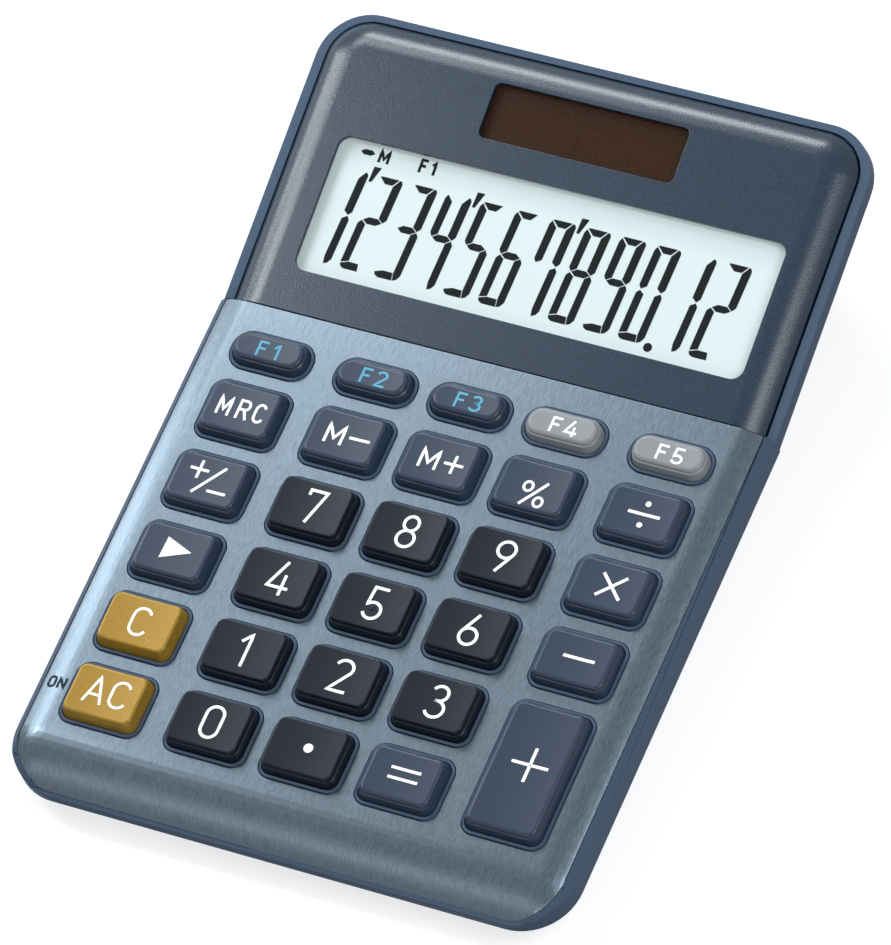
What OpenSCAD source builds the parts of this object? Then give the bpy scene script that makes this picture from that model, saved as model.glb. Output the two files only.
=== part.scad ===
// Desk calculator: a wedge-shaped case, a brushed keypad faceplate with 29 sprung keys, and a raked display.
// Units are millimetres. +Y points to the display, +Z up, and the rubber feet stand on Z = 0.
// Keypad pieces are drawn in a frame that starts at the seam between keypad and display, on the faceplate's
// top surface, and display pieces in a frame that starts on the same line and leans further back.

/* [Keys] */
// Width of a key where it meets the faceplate
key_w = 16.6; // [13.5:0.1:20]
// Front-to-back length of an ordinary key
key_l = 12.35; // [10.2:0.05:15]
// Front-to-back length of a narrow function key
narrow_l = 7.3; // [6.8:0.1:9]
// Height of the digit keys above the faceplate
digit_h = 3.4; // [2.6:0.1:4.5]
// Height of all other keys above the faceplate
oper_h = 3.0; // [2.6:0.1:4.5]
// How far a key sinks when it is pressed
key_travel = 2.0; // [1.2:0.1:2.4]
// How far each side of a key leans in on its way up
key_lean = 0.7; // [0.4:0.1:1]
// Corner radius of a key
key_r = 2.2; // [1.5:0.1:3]
// Corner radius of a narrow function key
narrow_r = 3.2; // [1.5:0.1:3.6]
// Wall of the hollow key
key_wall = 1.2; // [0.9:0.1:1.4]
// Thickness of the key's top
key_top = 1.4; // [1.1:0.1:1.8]
// How far the retaining lip stands out round a key's foot
lip_w = 0.9; // [0.7:0.1:1.1]
// Thickness of the retaining lip
lip_t = 0.8; // [0.6:0.1:1]

/* [Keypad] */
// Wall of the collar that guides a key
collar_wall = 0.6; // [0.5:0.1:0.9]
// Height of the collar above the faceplate
collar_h = 0.35; // [0.2:0.05:0.6]
// Clearance between key and collar
key_gap = 0.15; // [0.1:0.05:0.3]
// Clearance between collar and faceplate
plate_gap = 0.2; // [0.1:0.05:0.3]
// Faceplate left between the three middle columns
web_x = 2.7; // [2.4:0.1:4]
// Faceplate left between a middle column and an outer one
web_outer = 4.95; // [4.9:0.05:8]
// Faceplate left between rows
web_y = 2.65; // [2.4:0.05:4]
// Faceplate beside the outer columns
margin_side = 6.3; // [6:0.1:9]
// Faceplate in front of the first row
margin_front = 13; // [12:0.1:20]
// Faceplate behind the last row
margin_back = 6.05; // [5.5:0.05:10]
// Thickness of the faceplate
plate_t = 0.5; // [0.4:0.1:0.8]
// Width and drop of the faceplate's rolled sides
side_roll = [5.5, 1.3];
// Width and drop of the faceplate's rolled front
front_roll = [11.2, 5.2];

/* [Case] */
// Height of the seam line above the desk
seam_h = 19.1; // [18:0.1:24]
// Tilt of the keypad against the desk
keypad_tilt = 3; // [2:0.5:5]
// Tilt of the display against the desk
display_tilt = 14; // [11:0.5:18]
// Depth of the upper case's side, below the faceplate's level
rim_depth = 7.5; // [7:0.1:9]
// Width of the rail beside the faceplate
rail_side = 1.85; // [1.5:0.05:3]
// Width of the rail in front of the faceplate
rail_front = 0.95; // [0.7:0.05:2]
// How far the display's rim stands inside the keypad's rail, at the side and underneath
rim_step = 0.15; // [0.1:0.05:0.3]
// Width of the rim beside the display cover, with that step
rim_side = 2.25; // [2:0.05:3]
// Width of the rim behind the display cover
rim_back = 1.5; // [1.2:0.05:3]
// Case wall
case_wall = 2; // [1.6:0.1:2.4]
// Thickness of the deck under the faceplate
deck_t = 1.8; // [1.5:0.1:2.2]
// Thickness of the case floor
floor_t = 2; // [1.6:0.1:2.4]
// How far the lower case leans in per millimetre of height
draft = 0.46; // [0.35:0.01:0.5]
// How far the lower case stands back from the rim
reveal = 0.4; // [0.2:0.1:0.6]
// Outer corner radius of the faceplate
front_r = 10; // [8:0.5:14]
// Outer corner radius of the display cover
back_r = 9; // [7:0.5:12]
// Corner radius of the base
base_r = 12; // [8:1:14]

/* [Display] */
// Length of the display window, front to back
window_l = 29.8; // [24:0.1:36]
// Cover beside the display window
window_side = 9.3; // [9.2:0.1:16]
// Cover in front of the display window
window_front = 9.2; // [9:0.1:14]
// How far the windows sit to the right of the middle
window_shift = 1.6; // [0:0.1:1.7]
// Corner radius of both windows
window_r = 2.6; // [1.5:0.1:4]
// Width of the solar window
solar_w = 43.6; // [36:0.1:52]
// Length of the solar window, front to back
solar_l = 12.2; // [10:0.1:15]
// Cover between the two windows
window_web = 6.3; // [6.2:0.1:10]
// Cover behind the solar window
solar_back = 7; // [6.8:0.1:10]
// Thickness of the display cover
cover_t = 2; // [1.8:0.1:2.2]
// Thickness of the cover's web over the edge of a lens
lens_web = 0.9; // [0.7:0.1:1.1]
// Step from the faceplate down to the display cover
cover_drop = 0.3; // [0.1:0.1:0.6]
// Gap round the display cover
cover_gap = 0.4; // [0.3:0.05:0.6]
// Width and drop of the cover's rolled sides and back
cover_roll = [7, 3.4];
// Thickness of the display lens
lens_t = 1.2; // [1:0.1:1.4]
// Thickness of the solar lens
solar_lens_t = 1; // [0.8:0.1:1.2]
// Thickness of the liquid crystal cell
lcd_t = 2; // [1.6:0.1:2.2]
// Thickness of the solar cell
solar_cell_t = 1.1; // [0.9:0.1:1.4]

/* [Inside] */
// Thickness of the circuit board
board_t = 1.2; // [1:0.1:1.6]
// Thickness of the key mat between its domes
mat_t = 0.8; // [0.6:0.1:1]
// Rubber foot diameter
foot_d = 9; // [7:0.5:12]
// Height of the case above the desk
foot_h = 1.5; // [1:0.1:2.5]
// Diameter of the button cell
cell_d = 11.6; // [9.5:0.1:12.5]
// Height of the button cell
cell_h = 5.4; // [4.2:0.1:5.6]
// Diameter of the case screws
case_screw_d = 2.4; // [2:0.1:2.6]
// Diameter of the small screws
small_screw_d = 1.9; // [1.6:0.1:2]
// Insulated wire diameter
wire_d = 1.1; // [0.9:0.1:1.4]

/* [Hidden] */
$fn = 64;
EPS = 0.01;
BIG = 400;
fit = 0.1;         // Free play of a piece in its seat
screw_fit = 0.1;   // Hole diameter over screw diameter
seat = 0.1;        // Gap where one piece stops against another

// Key grid. Columns count from the left, rows from the display.
open_extra = 2 * (key_gap + collar_wall + plate_gap);
open_w = key_w + open_extra;
open_l = key_l + open_extra;
narrow_open_l = narrow_l + open_extra;
inner_x = open_w + web_x;
outer_x = inner_x + open_w + web_outer;
COLUMN_X = [-outer_x, -inner_x, 0, inner_x, outer_x];
row_pitch = open_l + web_y;
tall_l = key_l + row_pitch;
first_row_top = -margin_back - narrow_open_l - web_y;
function row_y(r) = r == 0 ? -margin_back - narrow_open_l / 2
                           : first_row_top - open_l / 2 - (r - 1) * row_pitch;

// Each key: node, column, row, kind. A tall key covers its row and the next one.
KEYS = [
    ["key_function_1", 0, 0, "narrow_blue"], ["key_function_2", 1, 0, "narrow_blue"],
    ["key_function_3", 2, 0, "narrow_blue"], ["key_function_4", 3, 0, "narrow_grey"],
    ["key_function_5", 4, 0, "narrow_grey"],
    ["key_memory_recall", 0, 1, "blue"], ["key_memory_minus", 1, 1, "blue"],
    ["key_memory_plus", 2, 1, "blue"], ["key_percent", 3, 1, "blue"], ["key_divide", 4, 1, "blue"],
    ["key_sign", 0, 2, "blue"], ["key_7", 1, 2, "black"], ["key_8", 2, 2, "black"],
    ["key_9", 3, 2, "black"], ["key_multiply", 4, 2, "blue"],
    ["key_correct", 0, 3, "blue"], ["key_4", 1, 3, "black"], ["key_5", 2, 3, "black"],
    ["key_6", 3, 3, "black"], ["key_minus", 4, 3, "blue"],
    ["key_clear", 0, 4, "gold"], ["key_1", 1, 4, "black"], ["key_2", 2, 4, "black"],
    ["key_3", 3, 4, "black"], ["key_plus", 4, 4, "tall_blue"],
    ["key_all_clear", 0, 5, "gold"], ["key_0", 1, 5, "black"], ["key_point", 2, 5, "black"],
    ["key_equals", 3, 5, "blue"],
];
function is_tall(k) = k[3] == "tall_blue";
function is_narrow(k) = k[3] == "narrow_blue" || k[3] == "narrow_grey";
function key_corner(k) = is_narrow(k) ? narrow_r : key_r;
function key_len(k) = is_tall(k) ? tall_l : is_narrow(k) ? narrow_l : key_l;
function key_height(k) = k[3] == "black" ? digit_h : oper_h;
function key_y(k) = row_y(k[2]) - (is_tall(k) ? row_pitch / 2 : 0);
function dome_ys(k) = is_tall(k) ? [row_y(k[2]), row_y(k[2]) - row_pitch] : [row_y(k[2])];

// Outlines of the two halves of the top
plate_half = outer_x + open_w / 2 + margin_side;
plate_l = -row_y(5) + open_l / 2 + margin_front;
half_w = plate_half + rail_side;
display_half = half_w - rim_step;
display_rim = rim_depth - rim_step;
case_front = plate_l + rail_front;
cover_half = half_w - rim_side - cover_gap;
cover_l = window_front + window_l + window_web + solar_l + solar_back;
case_back = cover_l + cover_gap + rim_back;
mid_tilt = (keypad_tilt + display_tilt) / 2;
seam_lean = tan((display_tilt - keypad_tilt) / 2);
front_reach = case_front * cos(keypad_tilt) - (rim_depth - 1.3) * sin(keypad_tilt);
back_reach = case_back * cos(display_tilt) + display_rim * sin(display_tilt);
seam_y = (front_reach - back_reach) / 2;

// Levels in the keypad frame, from the faceplate down
deck_z = -plate_t - deck_t;
lip_z = deck_z - 0.3;
key_foot_z = lip_z - lip_t;
plunger_z = key_foot_z + 0.2;
mat_z = key_foot_z - key_travel - 0.2;
board_z = mat_z - mat_t;
board_bottom = board_z - board_t;
post_z = board_bottom - 0.8;

// Levels in the cover's own frame, from the cover's top down
lens_z = -lens_web;
lcd_z = lens_z - lens_t - seat;
reflector_z = lcd_z - lcd_t;
reflector_t = 0.2;
holder_z = reflector_z - reflector_t;
holder_t = 1.2;
ledge_top = -display_rim + 1.5;
cover_foot = ledge_top + cover_drop + seat / 2;

// Screw places: [x, y] in the keypad frame for case and board screws, in the display frame for the others
gap_x = inner_x + open_w / 2 + web_outer / 2;
edge_x = outer_x + open_w / 2 + 2.5;
CASE_FRONT = [for (y = [row_y(5), row_y(2)], s = [-1, 1]) [s * gap_x, y]];
ear = [plate_half - 15, window_front + window_l + window_web + 0.7];
BOARD_SCREWS = concat([for (y = [row_y(1), row_y(4)], s = [-1, 1]) [s * gap_x, y]],
                      [for (y = [row_y(1), row_y(5)], s = [-1, 1]) [s * edge_x, y]]);
COVER_SCREWS = [for (s = [-1, 1]) each [[s * (cover_half - 12.5), 3],
                                        [s * (cover_half - 11), cover_l - 4.6]]];
holder_back = window_front + window_l + window_web - 0.8;
HOLDER_SCREWS = [for (s = [-1, 1]) each [[s * (cover_half - 23), 4.3],
                                         [s * (cover_half - 28.4), holder_back]]];
boss_d = 4.4;

// ---------------------------------------------------------------- frames and shared shapes
module keypad_frame() translate([0, seam_y, seam_h]) rotate([keypad_tilt, 0, 0]) children();
module display_frame() translate([0, seam_y, seam_h]) rotate([display_tilt, 0, 0]) children();
module cover_frame() display_frame() translate([0, 0, -cover_drop]) children();

// The space in front of (side -1) or behind (side 1) the plane that halves the angle at the seam
module seam_side(side) translate([0, seam_y, seam_h]) rotate([mid_tilt, 0, 0])
    translate([-BIG / 2, side < 0 ? -BIG : 0, -BIG / 2]) cube([BIG, BIG, BIG]);

module rounded_rect(w, l, r) {
    square([w - 2 * r, l], center = true);
    square([w, l - 2 * r], center = true);
    for (x = [-1, 1], y = [-1, 1]) translate([x * (w / 2 - r), y * (l / 2 - r)]) circle(r);
}

// Outline from y = 0 to y = length, with its two far corners rounded
module end_rounded(half, length, r) {
    translate([-half, 0]) square([2 * half, length - r]);
    translate([r - half, 0]) square([2 * (half - r), length]);
    for (s = [-1, 1]) translate([s * (half - r), length - r]) circle(r);
}

// Section from x = 0 to x = length whose top lies at -off and rolls down past x = start on a round edge
module rolled_half(length, start, radius, off, depth) {
    end_z = -radius + sqrt(pow(radius - off, 2) - pow(length - start, 2));
    translate([0, -depth]) square([start, depth - off]);
    translate([0, -depth]) square([length, depth + end_z]);
    intersection() {
        translate([start, -radius]) circle(radius - off);
        translate([start - EPS, -depth]) square([length - start + EPS, depth + BIG]);
    }
}
function roll_radius(roll) = (pow(roll[0], 2) + pow(roll[1], 2)) / (2 * roll[1]);

// Solid under a surface that rolls down at both sides and at one end, offset down by off
module rolled_solid(half, length, side, end, off, grow, depth) {
    intersection() {
        translate([0, length + BIG / 2, 0]) rotate([90, 0, 0]) linear_extrude(length + BIG) for (m = [0, 1])
            mirror([m, 0]) rolled_half(half + grow, half - side[0], roll_radius(side), off, depth);
        rotate([90, 0, 90]) linear_extrude(BIG, center = true)
            rolled_half(length + grow, length - end[0], roll_radius(end), off, depth);
    }
}

// ---------------------------------------------------------------- keypad surface
module plate_outline(grow) mirror([0, 1]) end_rounded(plate_half + grow, plate_l + grow, front_r + grow);
module plate_form(off, grow, depth) mirror([0, 1, 0])
    rolled_solid(plate_half, plate_l, side_roll, front_roll, off, grow, depth);

module key_openings(extra, z0, z1) for (k = KEYS) translate([COLUMN_X[k[1]], key_y(k), z0])
    linear_extrude(z1 - z0) rounded_rect(key_w + extra, key_len(k) + extra, key_corner(k) + extra / 2);

module keypad_faceplate() color([0.62, 0.70, 0.76]) keypad_frame() difference() {
    intersection() {
        plate_form(0, 0.5, 10);
        translate([0, -seat, -9]) linear_extrude(12) plate_outline(0);
    }
    plate_form(plate_t, 1, 12);
    key_openings(open_extra, -9, 1);
}

// ---------------------------------------------------------------- upper case
rail_top = -1.1;           // Level of the rail's inner edge
rail_drop = 2.1;           // Fall of the rail across its width
rail_far = plate_half + 3 * rail_side; // Where the rail's slope is drawn to, well past its outer edge
front_rail_drop = 1.3 / 3; // A third of the front rail's fall past its inner edge
module upper_keypad_block() intersection() {
    translate([0, 3, -rim_depth]) linear_extrude(rim_depth + 1)
        mirror([0, 1]) end_rounded(half_w, case_front + 3, front_r + rail_side);
    translate([0, BIG / 2, 0]) rotate([90, 0, 0]) linear_extrude(BIG) polygon([
        [-rail_far, -2 * rim_depth], [-rail_far, rail_top - 3 * rail_drop], [-plate_half, rail_top],
        [plate_half, rail_top], [rail_far, rail_top - 3 * rail_drop], [rail_far, -2 * rim_depth]]);
    mirror([0, 1, 0]) rotate([90, 0, 90]) linear_extrude(BIG, center = true) {
        rolled_half(plate_l, plate_l - front_roll[0], roll_radius(front_roll), 0, 2 * rim_depth);
        translate([-5, -2 * rim_depth]) square([6, 2 * rim_depth]);
        polygon([[plate_l - 1, -2 * rim_depth], [case_front + 2, -2 * rim_depth],
                 [case_front + 2, -front_roll[1] - 3 * front_rail_drop],
                 [plate_l - EPS, -front_roll[1]], [plate_l - 1, -front_roll[1]]]);
    }
}

module board_boss(p) translate([p[0], p[1], board_z + seat / 2])
    cylinder(d = boss_d, h = deck_z + 0.5 - board_z);
module board_boss_hole(p) translate([p[0], p[1], board_z - 1])
    cylinder(d = small_screw_d + screw_fit, h = deck_z + 0.4 - board_z);

module upper_keypad_part() difference() {
    union() {
        difference() {
            union() {
                upper_keypad_block();
                intersection() {
                    plate_form(plate_t, 0.5, 2 * rim_depth);
                    translate([0, 0, -rim_depth]) linear_extrude(rim_depth + 1) plate_outline(0);
                }
            }
            difference() {
                translate([0, 0, -9]) linear_extrude(12) plate_outline(fit);
                plate_form(plate_t, 1, 12);
            }
            intersection() {
                plate_form(plate_t + deck_t, -0.15, 20);
                translate([0, -case_wall, -20]) linear_extrude(20)
                    mirror([0, 1]) end_rounded(half_w - case_wall, plate_l - 2.5 * case_wall, front_r - 1);
            }
        }
        key_openings(2 * (key_gap + collar_wall), deck_z + EPS, collar_h);
        for (p = BOARD_SCREWS) board_boss(p);
        for (p = CASE_FRONT) translate([p[0], p[1], post_z + seat])
            cylinder(d = boss_d + 0.2, h = deck_z + 0.5 - post_z);
    }
    key_openings(2 * key_gap, -20, 1);
    for (p = BOARD_SCREWS) board_boss_hole(p);
    for (p = CASE_FRONT) translate([p[0], p[1], post_z - 1])
        cylinder(d = case_screw_d + screw_fit, h = deck_z + 0.6 - post_z);
}

module display_outline(half, length, r) translate([0, -20]) end_rounded(half, length + 20, r);
rim_top = -cover_drop - cover_roll[1] - 0.2;
ledge_w = 4;
ear_w = 7;

module upper_display_part() difference() {
    union() {
        difference() {
            translate([0, 0, -display_rim]) linear_extrude(display_rim + rim_top)
                display_outline(display_half, case_back, back_r + rim_side);
            translate([0, 0, ledge_top]) linear_extrude(rim_depth)
                display_outline(cover_half + cover_gap, cover_l + cover_gap, back_r + cover_gap);
            translate([0, 0, -20]) linear_extrude(30) intersection() {
                display_outline(cover_half + cover_gap - ledge_w, cover_l + cover_gap - 6.6,
                                back_r - ledge_w);
                union() {
                    translate([-cover_half, 6]) square([2 * cover_half, BIG]);
                    square([2 * (cover_half - 18), 12 + 2 * cover_gap], center = true);
                }
            }
        }
        for (s = [-1, 1]) translate([s * ear[0] - ear_w / 2, ear[1] - ear_w / 2, -display_rim])
            cube([ear_w, ear_w, 1.5]);
        for (s = [-1, 1]) translate([s > 0 ? ear[0] : -plate_half + 1, ear[1] - ear_w / 2, -display_rim])
            cube([plate_half - 1 - ear[0], ear_w, 1.5]);
    }
    for (p = COVER_SCREWS) translate([p[0], p[1], -20]) cylinder(d = small_screw_d + 0.5, h = 30);
}

// The rear case screws stand square to the keypad, like the front ones, and meet the ears from below
rear_boss_y = ear[1] * cos(display_tilt - keypad_tilt) + display_rim * sin(display_tilt - keypad_tilt);
rear_boss_z = ear[1] * sin(display_tilt - keypad_tilt) - display_rim * cos(display_tilt - keypad_tilt);
CASE_REAR = [for (s = [-1, 1]) [s * ear[0], rear_boss_y]];
rear_post_z = rear_boss_z - 8;

module upper_case() color([0.38, 0.46, 0.55]) difference() {
    union() {
        intersection() {
            keypad_frame() upper_keypad_part();
            seam_side(-1);
        }
        intersection() {
            display_frame() upper_display_part();
            seam_side(1);
        }
        keypad_frame() for (p = CASE_REAR) translate([p[0], p[1], rear_post_z + seat])
            cylinder(d = boss_d + 0.6, h = rear_boss_z + 0.8 - rear_post_z);
    }
    keypad_frame() for (p = CASE_REAR) translate([p[0], p[1], rear_post_z - 1])
        cylinder(d = case_screw_d + screw_fit, h = 7.5);
}

// ---------------------------------------------------------------- display
// Solid under a surface that rolls down at the sides, at the back and round the corners between them
module cover_form(off, grow) {
    depth = 14;
    flat_half = cover_half - back_r;
    flat_l = cover_l - back_r;
    module section(reach)
        rolled_half(reach + grow, reach - cover_roll[0], roll_radius(cover_roll), off, depth);
    translate([0, flat_l, 0]) rotate([90, 0, 0]) linear_extrude(flat_l + 10)
        for (m = [0, 1]) mirror([m, 0]) section(cover_half);
    rotate([90, 0, 90]) linear_extrude(2 * flat_half, center = true) section(cover_l);
    for (m = [0, 1]) mirror([m, 0, 0]) translate([flat_half, flat_l, 0])
        rotate_extrude(angle = 90) section(back_r);
}
lens_lap = 1.6;    // How far a lens reaches under the cover all round
window_x = window_shift;
window_half = cover_half - window_side;
window_mid = window_front + window_l / 2;
solar_mid = window_front + window_l + window_web + solar_l / 2;

module window_shape(lap) translate([window_x, window_mid])
    rounded_rect(2 * (window_half + lap), window_l + 2 * lap, window_r);
module solar_shape(lap) translate([window_x, solar_mid])
    rounded_rect(solar_w + 2 * lap, solar_l + 2 * lap, window_r - 1);
module at_level(z, t) translate([0, 0, z]) linear_extrude(t) children();
module blind_boss(p, d, foot, hole) difference() {
    translate([p[0], p[1], foot]) cylinder(d = d, h = -cover_t + 0.3 - foot);
    translate([p[0], p[1], foot - 1]) cylinder(d = hole, h = -cover_t - foot + 0.7);
}

module display_cover() color([0.24, 0.30, 0.37]) cover_frame() {
    difference() {
        intersection() {
            cover_form(0, 0.5);
            at_level(cover_foot, 10) difference() {
                end_rounded(cover_half, cover_l, back_r);
                translate([-BIG / 2, -EPS]) square([BIG, cover_gap / 2 + EPS]);
            }
        }
        intersection() {
            cover_form(cover_t, -1);
            at_level(-20, 20) difference() {
                end_rounded(cover_half - cover_t, cover_l - cover_t, back_r - cover_t);
                translate([-BIG / 2, -EPS]) square([BIG, cover_t + EPS]);
            }
        }
        at_level(-5, 10) window_shape(0);
        at_level(-5, 10) solar_shape(0);
        at_level(-5, 5 + lens_z) window_shape(lens_lap + fit);
        at_level(-5, 5 + lens_z) solar_shape(lens_lap + fit);
        for (p = concat(COVER_SCREWS, HOLDER_SCREWS))
            translate([p[0], p[1], -20]) cylinder(d = small_screw_d + screw_fit, h = 20 - cover_t + 0.7);
    }
    for (p = COVER_SCREWS) blind_boss(p, 4.6, cover_foot, small_screw_d + screw_fit);
    for (p = HOLDER_SCREWS) blind_boss(p, 4, holder_z, small_screw_d + screw_fit);
}

module display_lens() color([0.86, 0.92, 0.93, 0.4]) cover_frame() at_level(lens_z - lens_t, lens_t)
    window_shape(lens_lap);
module solar_lens() color([0.35, 0.25, 0.20, 0.5]) cover_frame() at_level(lens_z - solar_lens_t, solar_lens_t)
    solar_shape(lens_lap);
module solar_cell() color([0.25, 0.18, 0.15]) cover_frame()
    at_level(lens_z - solar_lens_t - solar_cell_t, solar_cell_t) solar_shape(lens_lap);

lcd_lap = 1.9;     // How far the liquid crystal cell reaches past its window
module lcd_shape(extra) translate([window_x, window_mid])
    square([2 * (window_half + lcd_lap + extra), window_l + 2 * (lcd_lap + extra)], center = true);
module lcd_cell() color([0.80, 0.86, 0.86]) cover_frame() at_level(reflector_z, lcd_t) lcd_shape(0);
module lcd_reflector() color([0.72, 0.76, 0.76]) cover_frame() at_level(holder_z, reflector_t) lcd_shape(0);

holder_wall = 1;
module lcd_holder() color([0.90, 0.90, 0.88]) cover_frame() difference() {
    union() {
        at_level(holder_z - holder_t, holder_t + reflector_t + lcd_t - 0.6) lcd_shape(fit + holder_wall);
        for (p = HOLDER_SCREWS) translate([p[0], p[1], holder_z - holder_t])
            cylinder(d = 4.6, h = holder_t - seat);
        for (p = HOLDER_SCREWS) translate([p[0], (p[1] + window_mid) / 2, holder_z - holder_t / 2 - seat / 2])
            cube([4.6, abs(p[1] - window_mid), holder_t - seat], center = true);
    }
    at_level(holder_z, 10) lcd_shape(fit);
    for (p = HOLDER_SCREWS) translate([p[0], p[1], -20]) cylinder(d = small_screw_d + 0.4, h = 30);
    for (p = HOLDER_SCREWS) translate([p[0], p[1], holder_z - seat]) cylinder(d = 4.8, h = 10);
}

// ---------------------------------------------------------------- lower case
// Height above the desk of a point in the keypad or the display frame
function keypad_up(y, z) = seam_h + y * sin(keypad_tilt) + z * cos(keypad_tilt);
function keypad_back(y, z) = seam_y + y * cos(keypad_tilt) - z * sin(keypad_tilt);
function display_up(y, z) = seam_h + y * sin(display_tilt) + z * cos(display_tilt);
function display_back(y, z) = seam_y + y * cos(display_tilt) - z * sin(display_tilt);
front_top = [keypad_back(-case_front + reveal, -rim_depth), keypad_up(-case_front + reveal, -rim_depth)];
back_top = [display_back(case_back - reveal, -rim_depth), display_up(case_back - reveal, -rim_depth)];
seam_top_h = seam_h - rim_depth / cos(mid_tilt);
function base_half(top) = half_w - reveal - draft * (top - foot_h);
base_front_y = front_top[0] + draft * (front_top[1] - foot_h);
base_back_y = back_top[0] - draft * (back_top[1] - foot_h);
base_seam_y = seam_y + (seam_h - foot_h) * tan(mid_tilt);

// A closed tub: one hull round both rims and the base, inset from the outside, before its top is cut
module tub(inset, floor_z, lift) hull() {
    keypad_frame() translate([0, 0, lift - rim_depth]) linear_extrude(EPS, $fn = 32) mirror([0, 1])
        translate([0, -rim_depth * seam_lean])
            end_rounded(half_w - reveal - inset, case_front - reveal - inset + rim_depth * seam_lean,
                        front_r + rail_side - inset);
    display_frame() translate([0, 0, lift - display_rim]) linear_extrude(EPS, $fn = 32)
        translate([0, -rim_depth * seam_lean])
            end_rounded(half_w - reveal - inset, case_back - reveal - inset + rim_depth * seam_lean,
                        back_r + rim_side - inset);
    translate([0, 0, floor_z]) linear_extrude(EPS, $fn = 32) for (s = [-1, 1]) {
        translate([s * (base_half(front_top[1]) - inset - base_r), base_front_y + inset + base_r])
            circle(base_r);
        translate([s * (base_half(back_top[1]) - inset - base_r), base_back_y - inset - base_r])
            circle(base_r);
        translate([s * (base_half(seam_top_h) - inset), base_seam_y]) square(2 * EPS, center = true);
    }
}

// Everything below the two rims' undersides
module below_rims() rotate([90, 0, 90]) linear_extrude(BIG, center = true) polygon([
    [keypad_back(-BIG, -rim_depth), keypad_up(-BIG, -rim_depth)],
    [keypad_back(rim_depth * seam_lean, -rim_depth), keypad_up(rim_depth * seam_lean, -rim_depth)],
    [display_back(-display_rim * seam_lean, -display_rim),
     display_up(-display_rim * seam_lean, -display_rim)],
    [display_back(BIG, -display_rim), display_up(BIG, -display_rim)],
    [BIG, -BIG], [-BIG, -BIG]]);

post_d = 6.6;
head_d = 4.2;
head_gap = 0.4;
post_web = 2;
module post(p, top) translate([p[0], p[1], top - BIG]) cylinder(d = post_d, h = BIG);
module post_bore(p, top) {
    translate([p[0], p[1], top - BIG]) cylinder(d = head_d + head_gap, h = BIG - post_web);
    translate([p[0], p[1], top - 10]) cylinder(d = case_screw_d + 0.3, h = 20);
}

battery = [-24, base_seam_y + 24];
door = [cell_d + 14, cell_d + 6];
door_t = 1.6;
door_x = battery[0] + 4;
door_screw = [battery[0] + cell_d / 2 + 7, battery[1]];
cell_z = foot_h + door_t + 0.2;
contact_t = 0.3;
well_top = cell_z + cell_h + contact_t + seat;
FEET_FRONT = [for (s = [-1, 1]) [s * (base_half(front_top[1]) - foot_d - 2), base_front_y + foot_d + 3]];
FEET_REAR = [for (s = [-1, 1]) [s * (base_half(back_top[1]) - foot_d), base_back_y - foot_d - 1]];
foot_seat = 0.8;

module battery_well() translate([0, 0, foot_h]) linear_extrude(well_top + 1.2 - foot_h)
    translate([door_x, battery[1]]) rounded_rect(door[0] + 3, door[1] + 3, 3);

module lower_case() color([0.34, 0.41, 0.50]) difference() {
    union() {
        difference() {
            intersection() {
                tub(0, foot_h, 0.3);
                below_rims();
            }
            tub(case_wall, foot_h + floor_t, 1.3);
        }
        intersection() {
            tub(0.5, foot_h + EPS, 0);
            union() {
                keypad_frame() for (p = CASE_FRONT) post(p, post_z);
                keypad_frame() for (p = CASE_REAR) post(p, rear_post_z);
                battery_well();
            }
        }
    }
    keypad_frame() for (p = CASE_FRONT) post_bore(p, post_z);
    keypad_frame() for (p = CASE_REAR) post_bore(p, rear_post_z);
    for (p = concat(FEET_FRONT, FEET_REAR)) translate([p[0], p[1], foot_h - 1])
        cylinder(d = foot_d + 0.2, h = 1 + foot_seat);
    translate([door_x, battery[1], foot_h - 1]) linear_extrude(1 + door_t + seat)
        rounded_rect(door[0], door[1], 2);
    translate([battery[0], battery[1], foot_h]) cylinder(d = cell_d + 0.6, h = well_top - foot_h);
    translate([battery[0] - cell_d / 2 - 1.2, battery[1] - 2.1, foot_h + door_t]) cube([3, 4.2, 20]);
    translate([battery[0] + 1, battery[1] - 1.6, cell_z + cell_h]) cube([2.4, 3.2, 20]);
    translate([door_screw[0], door_screw[1], foot_h]) cylinder(d = small_screw_d + screw_fit, h = door_t + 5);
    translate([0, base_front_y + 48, foot_h - 1]) linear_extrude(1.4) rounded_rect(46, 24, 2);
}

// ---------------------------------------------------------------- battery
module button_cell() color([0.78, 0.79, 0.80]) translate([battery[0], battery[1], cell_z]) union() {
    cylinder(d = cell_d, h = cell_h - 0.8);
    translate([0, 0, cell_h - 0.8]) cylinder(d = cell_d - 1.6, h = 0.8);
}
module battery_contact_positive() color([0.80, 0.74, 0.55])
    translate([battery[0] - cell_d / 2 - contact_t - 0.05, battery[1] - 1.8, cell_z]) union() {
        cube([contact_t, 3.6, well_top + 3 - cell_z]);
        translate([0, 0, well_top + 3 - cell_z - contact_t]) cube([2.4, 3.6, contact_t]);
    }
module battery_contact_negative() color([0.80, 0.74, 0.55])
    translate([battery[0] - 3, battery[1] - 1.4, cell_z + cell_h + 0.05]) union() {
        cube([5.4, 2.8, contact_t]);
        translate([5.4 - contact_t, 0, 0]) cube([contact_t, 2.8, 4.4]);
    }
module battery_cover() color([0.34, 0.41, 0.50]) translate([door_x, battery[1], foot_h]) difference() {
    linear_extrude(door_t) rounded_rect(door[0] - 0.4, door[1] - 0.4, 1.8);
    translate([door_screw[0] - door_x, 0, -1]) cylinder(d = small_screw_d + 0.4, h = 5);
    translate([door_screw[0] - door_x, 0, -1]) cylinder(d = 4, h = 1.8);
}
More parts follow.
